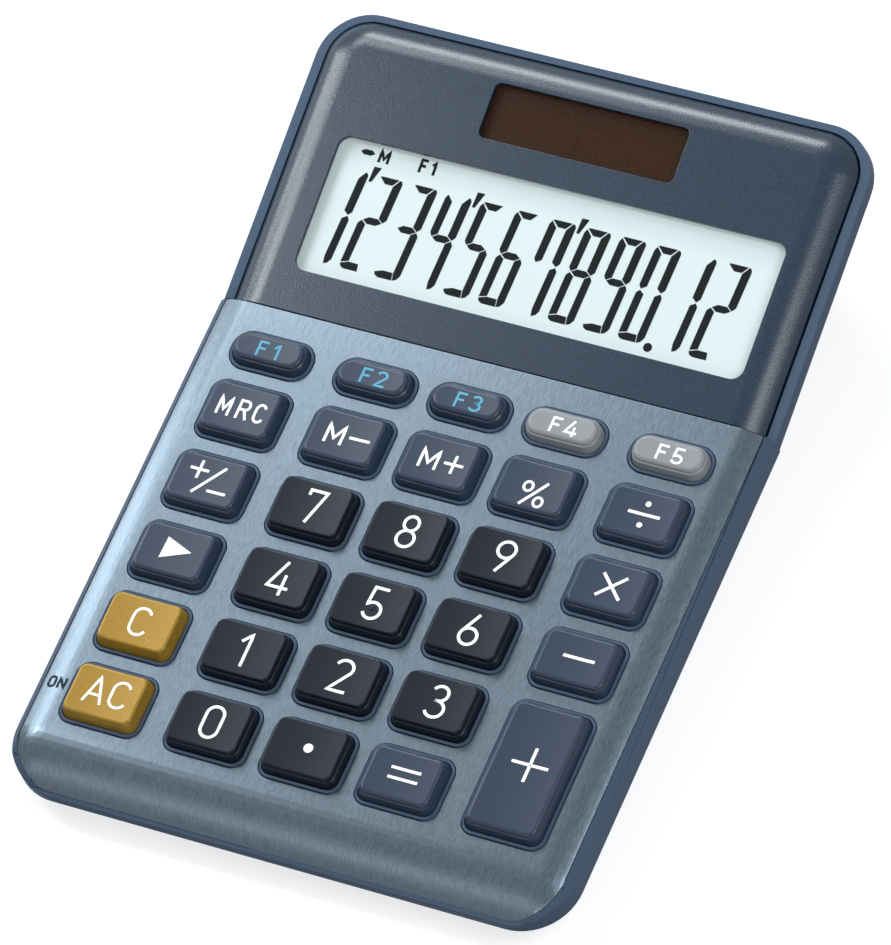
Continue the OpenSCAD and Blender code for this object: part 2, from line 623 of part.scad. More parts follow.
module pan_screw(d, length, head, head_h) {
    cylinder(d = d, h = length);
    difference() {
        translate([0, 0, -head_h]) cylinder(d = head, h = head_h);
        for (a = [0, 90]) rotate([0, 0, a]) translate([-head * 0.3, -0.25, -head_h - 1])
            cube([head * 0.6, 0.5, 1.6]);
    }
}
module battery_cover_screw() color([0.62, 0.63, 0.64]) translate([door_screw[0], door_screw[1], foot_h + 0.8])
    pan_screw(small_screw_d, 5.2, 3.6, 0.7);

// ---------------------------------------------------------------- boards and mat
module board_outline(half, y0, y1) translate([-half, y1]) square([2 * half, y0 - y1]);
mat_half = outer_x + open_w / 2 + 0.1;
board_half = edge_x + 2.4;
pad_front = row_y(5) - open_l / 2 - 1.5;
module boss_holes(points, d) for (p = points) translate([p[0], p[1]]) circle(d = d);

function dome_top_r(k) = is_narrow(k) ? narrow_l / 2 - key_wall - 0.4 : 2.7;
function dome_foot_r(k) = dome_top_r(k) + 1.5;
dome_z = plunger_z - seat;
module key_mat() color([0.55, 0.57, 0.60]) keypad_frame() difference() {
    union() {
        translate([0, 0, board_z]) linear_extrude(mat_t) difference() {
            board_outline(mat_half, -margin_back + 1, pad_front);
            boss_holes(concat(CASE_FRONT, BOARD_SCREWS), boss_d + 0.8);
        }
        for (k = KEYS, y = dome_ys(k)) translate([COLUMN_X[k[1]], y, mat_z - EPS])
            cylinder(r1 = dome_foot_r(k), r2 = dome_top_r(k), h = dome_z - mat_z + EPS);
    }
    for (k = KEYS, y = dome_ys(k)) translate([COLUMN_X[k[1]], y, board_z - EPS]) difference() {
        cylinder(r1 = dome_foot_r(k) - 0.5, r2 = dome_top_r(k) - 0.5, h = dome_z - board_z - 0.9);
        translate([0, 0, dome_z - board_z - 1.3]) cylinder(r = dome_top_r(k) - 0.9, h = 2);
    }
}

module main_board() color([0.45, 0.33, 0.16]) keypad_frame() translate([0, 0, board_bottom])
    linear_extrude(board_t - EPS) difference() {
        board_outline(board_half, -4, pad_front);
        boss_holes(CASE_FRONT, boss_d + 0.8);
        boss_holes(BOARD_SCREWS, small_screw_d + 0.3);
    }
module board_screws() color([0.62, 0.63, 0.64]) keypad_frame() for (p = BOARD_SCREWS)
    translate([p[0], p[1], board_bottom - 0.02])
        pan_screw(small_screw_d, deck_z - board_bottom - 0.9, 3.6, 1.2);

blob = [8, row_y(1) - 1];
module controller_blob() color([0.10, 0.10, 0.11]) keypad_frame() intersection() {
    translate([blob[0], blob[1], board_bottom + 7.5]) sphere(10);
    translate([blob[0] - 20, blob[1] - 20, board_bottom - 20 - EPS]) cube([40, 40, 20]);
}
module lying_part(p, d, length) translate([p[0], p[1], board_bottom - d / 2 - EPS]) rotate([0, 90, 0])
    cylinder(d = d, h = length);
module board_components() color([0.20, 0.32, 0.52]) keypad_frame() {
    lying_part([-16, row_y(1) + 4], 4, 7.5);
    for (i = [0:3]) lying_part([-22, row_y(1) - 3 - 3 * i], 1.8, 5);
    lying_part([22, row_y(1) + 4], 2, 6);
    for (i = [0:2]) translate([-11, row_y(1) - 3 - 3.5 * i, board_bottom - 1.2 - EPS]) cube([3, 1.6, 1.2]);
}

// ---------------------------------------------------------------- wires and flex
wire_sides = 8;
ring_start = [1, 0, 0.3]; // No wire runs along this direction, from which each ring of corners starts
function unit(v) = v / norm(v);
function heading(points, i) = unit(points[min(i + 1, len(points) - 1)] - points[max(i - 1, 0)]);
function wire_ring(points, i) = let (t = heading(points, i), u = unit(cross(t, ring_start)), v = cross(t, u))
    [for (k = [0:wire_sides - 1]) points[i] + wire_d / 2 * (u * cos(360 * k / wire_sides)
                                                            + v * sin(360 * k / wire_sides))];
// One closed tube: a ring of corners at each point of the route, joined by triangles, with both ends capped
module wire(points) {
    last = (len(points) - 1) * wire_sides;
    polyhedron(
        [for (i = [0:len(points) - 1]) each wire_ring(points, i)],
        concat([[for (k = [0:wire_sides - 1]) k]],
               [for (i = [0:len(points) - 2], k = [0:wire_sides - 1])
                   let (a = i * wire_sides + k, b = i * wire_sides + (k + 1) % wire_sides)
                   each [[a, a + wire_sides, b], [b, a + wire_sides, b + wire_sides]]],
               [[for (k = [wire_sides - 1:-1:0]) last + k]]));
}
// Points are [x, distance behind the seam, height above the desk]
BATTERY_ROUTE = [[-27, 33, 17], [-31, 22, 14.5], [-35, 10, 12.5], [-37, 0, 10.8]];
SOLAR_ROUTE = [[6, 46.5, 22.2], [14, 38, 18.5], [26, 24, 15.5], [34, 10, 12.5], [37, 0, 10.8]];
function from_seam(points, dx) = [for (p = points) [p[0] + dx, p[1] + seam_y, p[2]]];
function below_board(x) = [x, keypad_back(-7, board_bottom - 0.4 - wire_d / 2),
                           keypad_up(-7, board_bottom - 0.4 - wire_d / 2)];
wire_tail_z = well_top + 3 + 0.3 + wire_d / 2;
solar_back_z = -cover_drop + lens_z - solar_lens_t - solar_cell_t - 0.3 - wire_d / 2;
module battery_wires() color([0.75, 0.12, 0.10]) {
    wire(concat([[battery[0] - cell_d / 2 + 1, battery[1], wire_tail_z]],
                from_seam(BATTERY_ROUTE, -2.5), [below_board(-40)]));
    wire(concat([[battery[0] + 2.4, battery[1], cell_z + cell_h + 4.4 + 0.4 + wire_d / 2]],
                from_seam(BATTERY_ROUTE, 2.5), [below_board(-35)]));
}
solar_tail = [display_back(solar_mid, solar_back_z), display_up(solar_mid, solar_back_z)];
module solar_wires() color([0.15, 0.15, 0.16]) for (s = [-1, 1])
    wire(concat([[window_x + 6 * s, solar_tail[0], solar_tail[1]]],
                from_seam(SOLAR_ROUTE, 2.5 * s), [below_board(37.5 + 2.5 * s)]));

// The flex leaves the cell's front edge, folds down past the holder and runs forward to the board
flex_t = 0.25;
flex_w = 60;
flex_top = [display_back(window_front - lcd_lap - fit - holder_wall - 0.6, -cover_drop + lcd_z - 1),
            display_up(window_front - lcd_lap - fit - holder_wall - 0.6, -cover_drop + lcd_z - 1)];
flex_end = [keypad_back(-9, board_bottom - seat), keypad_up(-9, board_bottom - seat)];
module flex_strip(a, b) polygon([[a[0], a[1]], [b[0], b[1]], [b[0] - flex_t, b[1] - flex_t],
                                 [a[0] - flex_t, a[1] - flex_t]]);
module lcd_flex() color([0.82, 0.62, 0.30]) translate([window_x - flex_w / 2, 0, 0]) rotate([90, 0, 90])
    linear_extrude(flex_w) {
        flex_strip(flex_top, [flex_top[0] + 0.9, flex_end[1] + 0.2]);
        flex_strip([flex_end[0], flex_end[1]], [flex_top[0] + 0.9, flex_end[1] + 0.2]);
    }

// ---------------------------------------------------------------- screws and feet
module cover_screws() color([0.62, 0.63, 0.64]) display_frame() for (p = COVER_SCREWS)
    translate([p[0], p[1], -display_rim - 0.02]) pan_screw(small_screw_d, 4.6, 3.6, 1.1);
module holder_screws() color([0.62, 0.63, 0.64]) cover_frame() for (p = HOLDER_SCREWS)
    translate([p[0], p[1], holder_z - holder_t - 0.02]) pan_screw(small_screw_d, 3.2, 3.6, 0.9);
module case_screws() color([0.62, 0.63, 0.64]) keypad_frame() {
    for (p = CASE_FRONT) translate([p[0], p[1], post_z - post_web - 0.02])
        pan_screw(case_screw_d, 7, head_d, 1.4);
    for (p = CASE_REAR) translate([p[0], p[1], rear_post_z - post_web - 0.02])
        pan_screw(case_screw_d, 7, head_d, 1.4);
}
module feet(points) for (p = points) translate([p[0], p[1], 0])
    cylinder(d = foot_d, h = foot_h + foot_seat - 0.02);
module front_feet() color([0.12, 0.12, 0.13]) feet(FEET_FRONT);
module rear_feet() color([0.12, 0.12, 0.13]) feet(FEET_REAR);

// ---------------------------------------------------------------- keys
KEY_COLORS = [["black", [0.16, 0.17, 0.20]], ["blue", [0.28, 0.35, 0.44]], ["tall_blue", [0.28, 0.35, 0.44]],
              ["narrow_blue", [0.28, 0.35, 0.44]], ["narrow_grey", [0.62, 0.63, 0.63]],
              ["gold", [0.76, 0.60, 0.25]]];
function key_color(kind) = [for (c = KEY_COLORS) if (c[0] == kind) c[1]][0];

module key_section(width, h) polygon([
    [-width / 2, key_foot_z - 1], [width / 2, key_foot_z - 1], [width / 2, 0.2],
    [width / 2 - key_lean, h], [key_lean - width / 2, h], [-width / 2, 0.2]]);
module key_cap(k) {
    length = key_len(k);
    h = key_height(k);
    color(key_color(k[3])) keypad_frame() translate([COLUMN_X[k[1]], key_y(k), 0]) {
        difference() {
            union() {
                intersection() {
                    at_level(key_foot_z, h - key_foot_z) rounded_rect(key_w, length, key_corner(k));
                    rotate([90, 0, 0]) linear_extrude(BIG, center = true) key_section(key_w, h);
                    rotate([90, 0, 90]) linear_extrude(BIG, center = true) key_section(length, h);
                }
                at_level(key_foot_z, lip_t)
                    rounded_rect(key_w + 2 * lip_w, length + 2 * lip_w, key_corner(k) + lip_w);
            }
            at_level(key_foot_z - 1, h - key_top - key_foot_z + 1)
                rounded_rect(key_w - 2 * key_wall, length - 2 * key_wall, key_corner(k) - key_wall);
        }
        for (y = dome_ys(k)) translate([0, y - key_y(k), plunger_z])
            cylinder(r = 1.6, h = h - key_top + 0.1 - plunger_z);
    }
}
module key_named(name) for (k = KEYS) if (k[0] == name) key_cap(k);

// ---------------------------------------------------------------- drawing
lower_case();
upper_case();
display_cover();
keypad_faceplate();
display_lens();
lcd_cell();
lcd_reflector();
lcd_holder();
lcd_flex();
solar_lens();
solar_cell();
solar_wires();
main_board();
controller_blob();
board_components();
key_mat();
board_screws();
cover_screws();
holder_screws();
case_screws();
button_cell();
battery_contact_positive();
battery_contact_negative();
battery_wires();
battery_cover();
battery_cover_screw();
front_feet();
rear_feet();
for (k = KEYS) key_cap(k);
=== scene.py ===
import math

import bmesh
import bpy
from mathutils import Matrix, Vector
from mathutils.bvhtree import BVHTree


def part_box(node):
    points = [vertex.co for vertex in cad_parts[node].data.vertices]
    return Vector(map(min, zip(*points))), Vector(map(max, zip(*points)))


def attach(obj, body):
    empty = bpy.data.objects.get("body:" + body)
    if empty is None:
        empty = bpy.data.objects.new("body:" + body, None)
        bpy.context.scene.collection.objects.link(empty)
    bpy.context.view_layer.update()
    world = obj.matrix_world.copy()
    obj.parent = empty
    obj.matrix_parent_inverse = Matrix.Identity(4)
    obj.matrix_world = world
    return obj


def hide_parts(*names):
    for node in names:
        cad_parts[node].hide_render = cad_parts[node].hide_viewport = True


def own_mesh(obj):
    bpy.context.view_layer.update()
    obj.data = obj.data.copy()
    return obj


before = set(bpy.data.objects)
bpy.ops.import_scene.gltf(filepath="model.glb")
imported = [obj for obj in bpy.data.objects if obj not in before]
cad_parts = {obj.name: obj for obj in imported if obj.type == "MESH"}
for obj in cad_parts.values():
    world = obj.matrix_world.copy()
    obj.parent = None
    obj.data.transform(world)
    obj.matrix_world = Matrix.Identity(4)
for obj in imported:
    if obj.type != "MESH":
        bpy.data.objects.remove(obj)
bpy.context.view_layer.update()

# ---------------------------------------------------------------- studio
# A white sweep under soft lamps. A long lens looks down from the right-hand front corner, and is rolled so
# that the calculator stands at a slant in the frame.
lens = bpy.data.cameras.new("long_lens")
lens.lens = 363.76
lens.sensor_width = 36
lens.clip_end = 10
camera = bpy.data.objects.new("camera", lens)
camera.location = (0.73481, -0.82345, 1.56702)
camera.rotation_euler = [math.radians(a) for a in (33.500, 12.191, 24.086)]
bpy.context.collection.objects.link(camera)
bpy.context.scene.camera = camera
bpy.context.scene.view_settings.view_transform = "Standard"


def paint(red, green, blue):
    """A colour as it is mixed for a screen, 0 to 255, turned into the linear values that shaders use."""
    parts = [c / 255 for c in (red, green, blue)]
    return tuple(c / 12.92 if c < 0.04045 else ((c + 0.055) / 1.055) ** 2.4 for c in parts) + (1.0,)


def put(tree, kind, inputs=None, **settings):
    """Adds a node to a tree, with its settings, and with each input set to a value or linked to a socket."""
    node = tree.nodes.new(kind)
    for key, value in settings.items():
        setattr(node, key, value)
    for key, value in (inputs or {}).items():
        if isinstance(value, bpy.types.NodeSocket):
            tree.links.new(value, node.inputs[key])
        else:
            node.inputs[key].default_value = value
    return node


def seen_directly(tree):
    """One for a ray from the camera, a reflection or a look through glass, and nothing for all other rays."""
    path = put(tree, "ShaderNodeLightPath").outputs
    either = put(tree, "ShaderNodeMath", {0: path["Is Camera Ray"], 1: path["Is Glossy Ray"]},
                 operation="ADD")
    return put(tree, "ShaderNodeMath", {0: either.outputs[0], 1: path["Is Transmission Ray"]},
               operation="ADD", use_clamp=True).outputs[0]


def lamp(name, place, aim, width, height, power):
    """A soft box that hangs at a place and points at the aim. Its size is in metres, its power in watts."""
    data = bpy.data.lights.new(name, "AREA")
    data.shape = "RECTANGLE"
    data.size = width
    data.size_y = height
    data.energy = power
    data.color = (0.95, 0.98, 1.0)
    box = bpy.data.objects.new(name, data)
    box.location = place
    box.rotation_euler = (Vector(aim) - Vector(place)).to_track_quat("-Z", "Y").to_euler()
    bpy.context.collection.objects.link(box)


# Name, place, aim, width, height and power of each
lamp("strip_box_left", (-0.42, 0.040, 0.46), (-0.05, 0.040, 0.03), 0.07, 0.25, 1.35)
lamp("strip_box_low", (-0.46, 0.14, 0.26), (-0.05, 0.09, 0.03), 0.07, 0.28, 0.8)
lamp("soft_box_rear_left", (-0.35, 0.31, 0.52), (0.0, -0.03, 0.02), 0.18, 0.18, 1.1)
lamp("strip_box_back", (-0.20, 0.45, 0.35), (0.0, 0.08, 0.03), 0.24, 0.12, 1.55)
lamp("soft_box_right", (0.37, -0.06, 0.39), (0.05, -0.02, 0.02), 0.26, 0.26, 1.8)
lamp("soft_box_front", (-0.25, -0.52, 0.42), (0.0, 0.0, 0.02), 0.22, 0.22, 0.25)
lamp("soft_box_near", (0.10, -0.60, 0.34), (0.0, -0.03, 0.02), 0.26, 0.26, 0.65)

air = bpy.data.worlds.new("studio_air")
air.use_nodes = True
air.node_tree.nodes.clear()
ambient = put(air.node_tree, "ShaderNodeBackground", {"Color": paint(250, 252, 255), "Strength": 0.16})
white = put(air.node_tree, "ShaderNodeBackground", {"Color": (1, 1, 1, 1), "Strength": 1.0})
mixed = put(air.node_tree, "ShaderNodeMixShader",
            {0: seen_directly(air.node_tree), 1: ambient.outputs[0], 2: white.outputs[0]})
put(air.node_tree, "ShaderNodeOutputWorld", {"Surface": mixed.outputs[0]})
bpy.context.scene.world = air

floor_finish = bpy.data.materials.new("white_paper")
floor_finish.use_nodes = True
paper = floor_finish.node_tree
paper.nodes.clear()
matt = put(paper, "ShaderNodeBsdfDiffuse", {"Color": paint(160, 161, 163)})
glow = put(paper, "ShaderNodeEmission", {"Color": (1, 1, 1, 1), "Strength": 0.72})
dark = put(paper, "ShaderNodeEmission", {"Strength": 0.0})
shown = put(paper, "ShaderNodeMixShader", {0: seen_directly(paper), 1: dark.outputs[0], 2: glow.outputs[0]})
total = put(paper, "ShaderNodeAddShader", {0: matt.outputs[0], 1: shown.outputs[0]})
put(paper, "ShaderNodeOutputMaterial", {"Surface": total.outputs[0]})
FLOOR_REACH = 3.0
floor_corners = [(x * FLOOR_REACH, y * FLOOR_REACH, 0) for x, y in ((-1, -1), (1, -1), (1, 1), (-1, 1))]
floor_mesh = bpy.data.meshes.new("paper_sweep")
floor_mesh.from_pydata(floor_corners, [], [(0, 1, 2, 3)])
floor_mesh.materials.append(floor_finish)
floor = bpy.data.objects.new("paper_sweep", floor_mesh)
bpy.context.collection.objects.link(floor)

# ---------------------------------------------------------------- upper case
# One satin blue-grey moulding: the rails round the keypad, the rim round the display and a collar round
# each key. It is screwed to the lower case from underneath.
MM = 0.001
KEYPAD_TILT = 3
DISPLAY_TILT = 14
PLATE_T = 0.5 * MM
PLATE_GAP = 0.1 * MM
COVER_DROP = 0.3 * MM
# Width and drop of the faceplate's rolled sides and front, how deep the skin under them reaches, and into how
# many strips each roll is cut at the corners
SIDE_ROLL = (5.5 * MM, 1.3 * MM)
FRONT_ROLL = (11.2 * MM, 5.2 * MM)
SKIN = 2.25 * MM
SIDE_STRIPS = 4
FRONT_STRIPS = 8
# Points closer than this are one point, faces turned less than this are one flat face
WELD = 0.002 * MM
FLAT = math.radians(0.4)
# An edge is rounded off where one face looks up, the other turns away from it, and the two meet sharply.
# The first two are cosines with the upward direction.
LOOKS_UP = 0.6
TURNS_AWAY = 0.35
SHARP = math.radians(35)
CASE_EDGE = 0.10 * MM


def local_box(node, plane):
    """The lowest and highest corner of a CAD node, measured in a tilted plane."""
    to_plane = plane.inverted()
    points = [to_plane @ v.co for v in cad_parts[node].data.vertices]
    return (Vector(min(p[i] for p in points) for i in range(3)),
            Vector(max(p[i] for p in points) for i in range(3)))


# The keypad and the display cover lie in two tilted planes that meet at the seam between them
plate_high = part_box("keypad_faceplate")[1]
lean = math.radians(KEYPAD_TILT)
seam = Vector((0, plate_high.y + PLATE_GAP * math.cos(lean) - PLATE_T * math.sin(lean),
               plate_high.z + PLATE_GAP * math.sin(lean)))
keypad = Matrix.Translation(seam) @ Matrix.Rotation(lean, 4, "X")
to_keypad = keypad.inverted()
keypad_up = keypad.to_3x3() @ Vector((0, 0, 1))
cover = (Matrix.Translation(seam) @ Matrix.Rotation(math.radians(DISPLAY_TILT), 4, "X")
         @ Matrix.Translation((0, 0, -COVER_DROP)))
cover_up = cover.to_3x3() @ Vector((0, 0, 1))
plate_length = -local_box("keypad_faceplate", keypad)[0].y


def new_finish(name, colour, roughness, metallic=0.0, coat=0.0, gloss=0.5):
    """A material with its node tree, its shader, and a position on the piece for patterns."""
    finish = bpy.data.materials.new(name)
    finish.use_nodes = True
    shader = finish.node_tree.nodes["Principled BSDF"]
    for key, value in (("Base Color", colour), ("Roughness", roughness), ("Metallic", metallic),
                       ("Coat Weight", coat), ("Specular IOR Level", gloss)):
        shader.inputs[key].default_value = value
    place = put(finish.node_tree, "ShaderNodeTexCoord").outputs["Object"]
    return finish, finish.node_tree, shader, place


def noise(tree, place, size, detail=2.0, stretch=(1, 1, 1)):
    """A cloudy pattern with spots of about the given size in millimetres, drawn out along an axis."""
    if stretch != (1, 1, 1):
        place = put(tree, "ShaderNodeMapping", {"Vector": place, "Scale": stretch}).outputs[0]
    return put(tree, "ShaderNodeTexNoise",
               {"Vector": place, "Scale": 1 / (size * MM), "Detail": detail}).outputs[0]


def spread(tree, pattern, low, high, start=0.3, end=0.7):
    """The pattern as a number that changes smoothly between low and high."""
    limits = {"Value": pattern, "From Min": start, "From Max": end, "To Min": low, "To Max": high}
    return put(tree, "ShaderNodeMapRange", limits, interpolation_type="SMOOTHSTEP").outputs[0]


def between(tree, factor, first, second):
    """A colour between two colours."""
    node = put(tree, "ShaderNodeMix", {"Factor": factor}, data_type="RGBA")
    node.inputs[6].default_value = first
    node.inputs[7].default_value = second
    return node.outputs[2]


def shade(colour, amount):
    """A colour made lighter or darker."""
    return tuple(min(1.0, c * amount) for c in colour[:3]) + (1.0,)


def moulded(name, colour, roughness=0.45, grain=0.25, depth=0.006, mottle=0.08, metallic=0.0, coat=0.0,
            gloss=0.5):
    """Moulded plastic: the mould's fine etched grain in tone and height, and a faint broad change of gloss.
    The grain and its depth are in millimetres."""
    finish, tree, shader, place = new_finish(name, colour, roughness, metallic, coat, gloss)
    fine = noise(tree, place, grain, 1.0)
    broad = noise(tree, place, 25.0, 0.0)
    tone = between(tree, spread(tree, fine, 0, 1), shade(colour, 1 - mottle), shade(colour, 1 + mottle))
    bump = put(tree, "ShaderNodeBump", {"Height": fine, "Distance": depth * MM})
    tree.links.new(tone, shader.inputs["Base Color"])
    tree.links.new(spread(tree, broad, roughness - 0.01, roughness + 0.01, 0, 1), shader.inputs["Roughness"])
    tree.links.new(bump.outputs[0], shader.inputs["Normal"])
    return finish


def show(mesh, name, body, finish=None, replaces=(), angle=32, even=False):
    """Puts a finished mesh in the scene as a piece that rides on a body, smooth except at its edges."""
    if finish:
        mesh.materials.clear()
        mesh.materials.append(finish)
    mesh.shade_smooth()
    mesh.set_sharp_from_angle(angle=math.radians(angle))
    piece = bpy.data.objects.new(name, mesh)
    bpy.context.collection.objects.link(piece)
    if even:
        flats = piece.modifiers.new("even_flats", "WEIGHTED_NORMAL")
        flats.keep_sharp = True
        flats.weight = 100
    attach(piece, body)
    if replaces:
        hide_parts(*replaces)
    return piece


def soften(work, up, width):
    """Rounds off the edges where a face that looks up meets one that stands, as a mould or press does."""
    work.normal_update()
    edges = []
    for edge in work.edges:
        if len(edge.link_faces) == 2 and edge.is_convex:
            rise = sorted(face.normal.dot(up) for face in edge.link_faces)
            if rise[1] > LOOKS_UP and rise[1] - rise[0] > TURNS_AWAY and edge.calc_face_angle() > SHARP:
                edges.append(edge)
    bmesh.ops.bevel(work, geom=edges, offset=width, offset_type="OFFSET", segments=2, profile=0.5,
                    affect="EDGES", clamp_overlap=False)


def fused(node):
    """A copy of a CAD node's surface with its loose triangles joined and its flat faces made whole."""
    work = bmesh.new()
    work.from_mesh(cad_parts[node].data)
    bmesh.ops.remove_doubles(work, verts=work.verts, dist=WELD)
    bmesh.ops.dissolve_limit(work, angle_limit=FLAT, verts=work.verts, edges=work.edges)
    return work


def fall(past, roll):
    """How far a rolled edge has come down at a distance past the line where it starts."""
    width, drop = roll
    radius = (width ** 2 + drop ** 2) / (2 * drop)
    return radius - math.sqrt(radius ** 2 - min(max(past, 0.0), width) ** 2)


def ease_corners(work):
    """Lets the front corners fall by the side's roll and the front's roll together, so that the line round
    them has no kink. Only what lies just under the faceplate's surface moves."""
    flat_x = plate_high.x - SIDE_ROLL[0]
    flat_y = plate_length - FRONT_ROLL[0]
    margin = 0.01 * MM
    forward, across = keypad.to_3x3() @ Vector((0, -1, 0)), Vector((1, 0, 0))
    cuts = [(keypad @ Vector((0, -flat_y - FRONT_ROLL[0] * k / FRONT_STRIPS, 0)), forward)
            for k in range(FRONT_STRIPS)]
    cuts += [(Vector((side * (flat_x + SIDE_ROLL[0] * k / SIDE_STRIPS), 0, 0)), across)
             for k in range(SIDE_STRIPS) for side in (-1, 1)]
    for spot, facing in cuts:
        local = [(v, to_keypad @ v.co) for v in work.verts]
        corner = [v for v, p in local if abs(p.x) > flat_x - margin and -p.y > flat_y - margin]
        faces = dict.fromkeys(face for v in corner for face in v.link_faces)
        edges = dict.fromkeys(edge for face in faces for edge in face.edges)
        verts = dict.fromkeys(v for face in faces for v in face.verts)
        bmesh.ops.bisect_plane(work, geom=[*faces, *edges, *verts], plane_co=spot, plane_no=facing,
                               dist=WELD / 2)
    for vertex in work.verts:
        p = to_keypad @ vertex.co
        side, front = fall(abs(p.x) - flat_x, SIDE_ROLL), fall(-p.y - flat_y, FRONT_ROLL)
        if -p.z - max(side, front) < SKIN:
            vertex.co -= keypad_up * min(side, front)


def meshed(name, work):
    """The mesh of a piece, when the work on it is done."""
    mesh = bpy.data.meshes.new(name)
    work.to_mesh(mesh)
    work.free()
    return mesh


def shell(node, name, finish, up, width):
    """A moulded or pressed piece: the CAD node's own shape with its upper edges rounded off. What lies along
    the keypad has rolled front corners too, and they are eased first."""
    work = fused(node)
    if up == keypad_up:
        ease_corners(work)
    soften(work, up, width)
    return show(meshed(name, work), name, "case", finish, [node], even=True)


satin_blue = moulded("satin_blue_case", paint(72, 87, 106),
                     roughness=0.42, grain=0.22, depth=0.004, mottle=0.05, gloss=0.02)
shell("upper_case", "case_top", satin_blue, keypad_up, CASE_EDGE)

# ---------------------------------------------------------------- keypad faceplate
# A thin aluminium pressing, brushed from front to back and tinted pale blue, rolled down at its sides and
# front, and glued to the deck of the upper case.
PLATE_EDGE = 0.12 * MM


def brushed(name, colour, roughness=0.30):
    """Brushed metal: fine long scratches from front to back, in tone, gloss and height."""
    finish, tree, shader, place = new_finish(name, colour, roughness, metallic=1.0)
    hair = noise(tree, place, 0.10, 0.0, (1, 0.06, 0.06))
    tone = between(tree, spread(tree, hair, 0, 1), shade(colour, 0.85), shade(colour, 1.15))
    bump = put(tree, "ShaderNodeBump", {"Height": hair, "Distance": 0.0003 * MM})
    tree.links.new(tone, shader.inputs["Base Color"])
    tree.links.new(spread(tree, hair, roughness - 0.01, roughness + 0.02), shader.inputs["Roughness"])
    tree.links.new(bump.outputs[0], shader.inputs["Normal"])
    return finish


pale_aluminium = brushed("brushed_aluminium", paint(83, 94, 103))
plate = shell("keypad_faceplate", "faceplate", pale_aluminium, keypad_up, PLATE_EDGE).data

# ---------------------------------------------------------------- keys
# Hollow moulded caps with a retaining lip at the foot. Digit caps are near-black with a step below the top,
# operator caps blue-grey with a soft edge, and the clear caps gold. Each one rides on its own body.
# Width and thickness of the lip, and thickness of the walls and of the top
LIP_W = 0.9 * MM
LIP_T = 0.8 * MM
WALL = 1.2 * MM
TOP_T = 1.4 * MM
# The sides stand upright up to LEAN_FROM, and then draw in by CAP_LEAN on their way to the top. The step of
# the digit caps runs round at STEP_AT of the height, where the sides have drawn in by LEAN_AT_STEP of that.
# It rises by STEP_RISE of its width.
LEAN_FROM = 0.2 * MM
CAP_LEAN = 0.7 * MM
STEP_AT = 0.62
LEAN_AT_STEP = 0.6
STEP_RISE = 0.6
# Where rings of points lie round the soft edge, in degrees, and on the dished top, as shares of the way in
EDGE_TURNS = (22.5, 45, 67.5, 90)
TOP_RINGS = (0.02, 0.2, 0.4, 0.6, 0.8, 1.0)
# How fast a corner tightens as the rings move in over the edge
CORNER_SHARE = 0.8
CORNER_STEPS = 7
SIDE_STEPS = 5
# The stem under the cap, which stands a little above the cap's foot and runs a little way into its ceiling
STEM_R = 1.6 * MM
STEM_FACES = 20
STEM_LIFT = 0.2 * MM
STEM_OVERLAP = 0.1 * MM


class Size:
    """A number inside a node tree. Sums and products of it add nodes to the tree."""

    def __init__(self, tree, socket):
        self.tree = tree
        self.socket = socket

    def work(self, operation, *others):
        """One more step of arithmetic on the number."""
        inputs = {0: self.socket}
        for i, other in enumerate(others):
            inputs[i + 1] = getattr(other, "socket", other)
        return Size(self.tree, put(self.tree, "ShaderNodeMath", inputs, operation=operation).outputs[0])

    def __add__(self, other):
        return self.work("ADD", other)

    def __sub__(self, other):
        return self.work("SUBTRACT", other)

    def __mul__(self, other):
        return self.work("MULTIPLY", other)


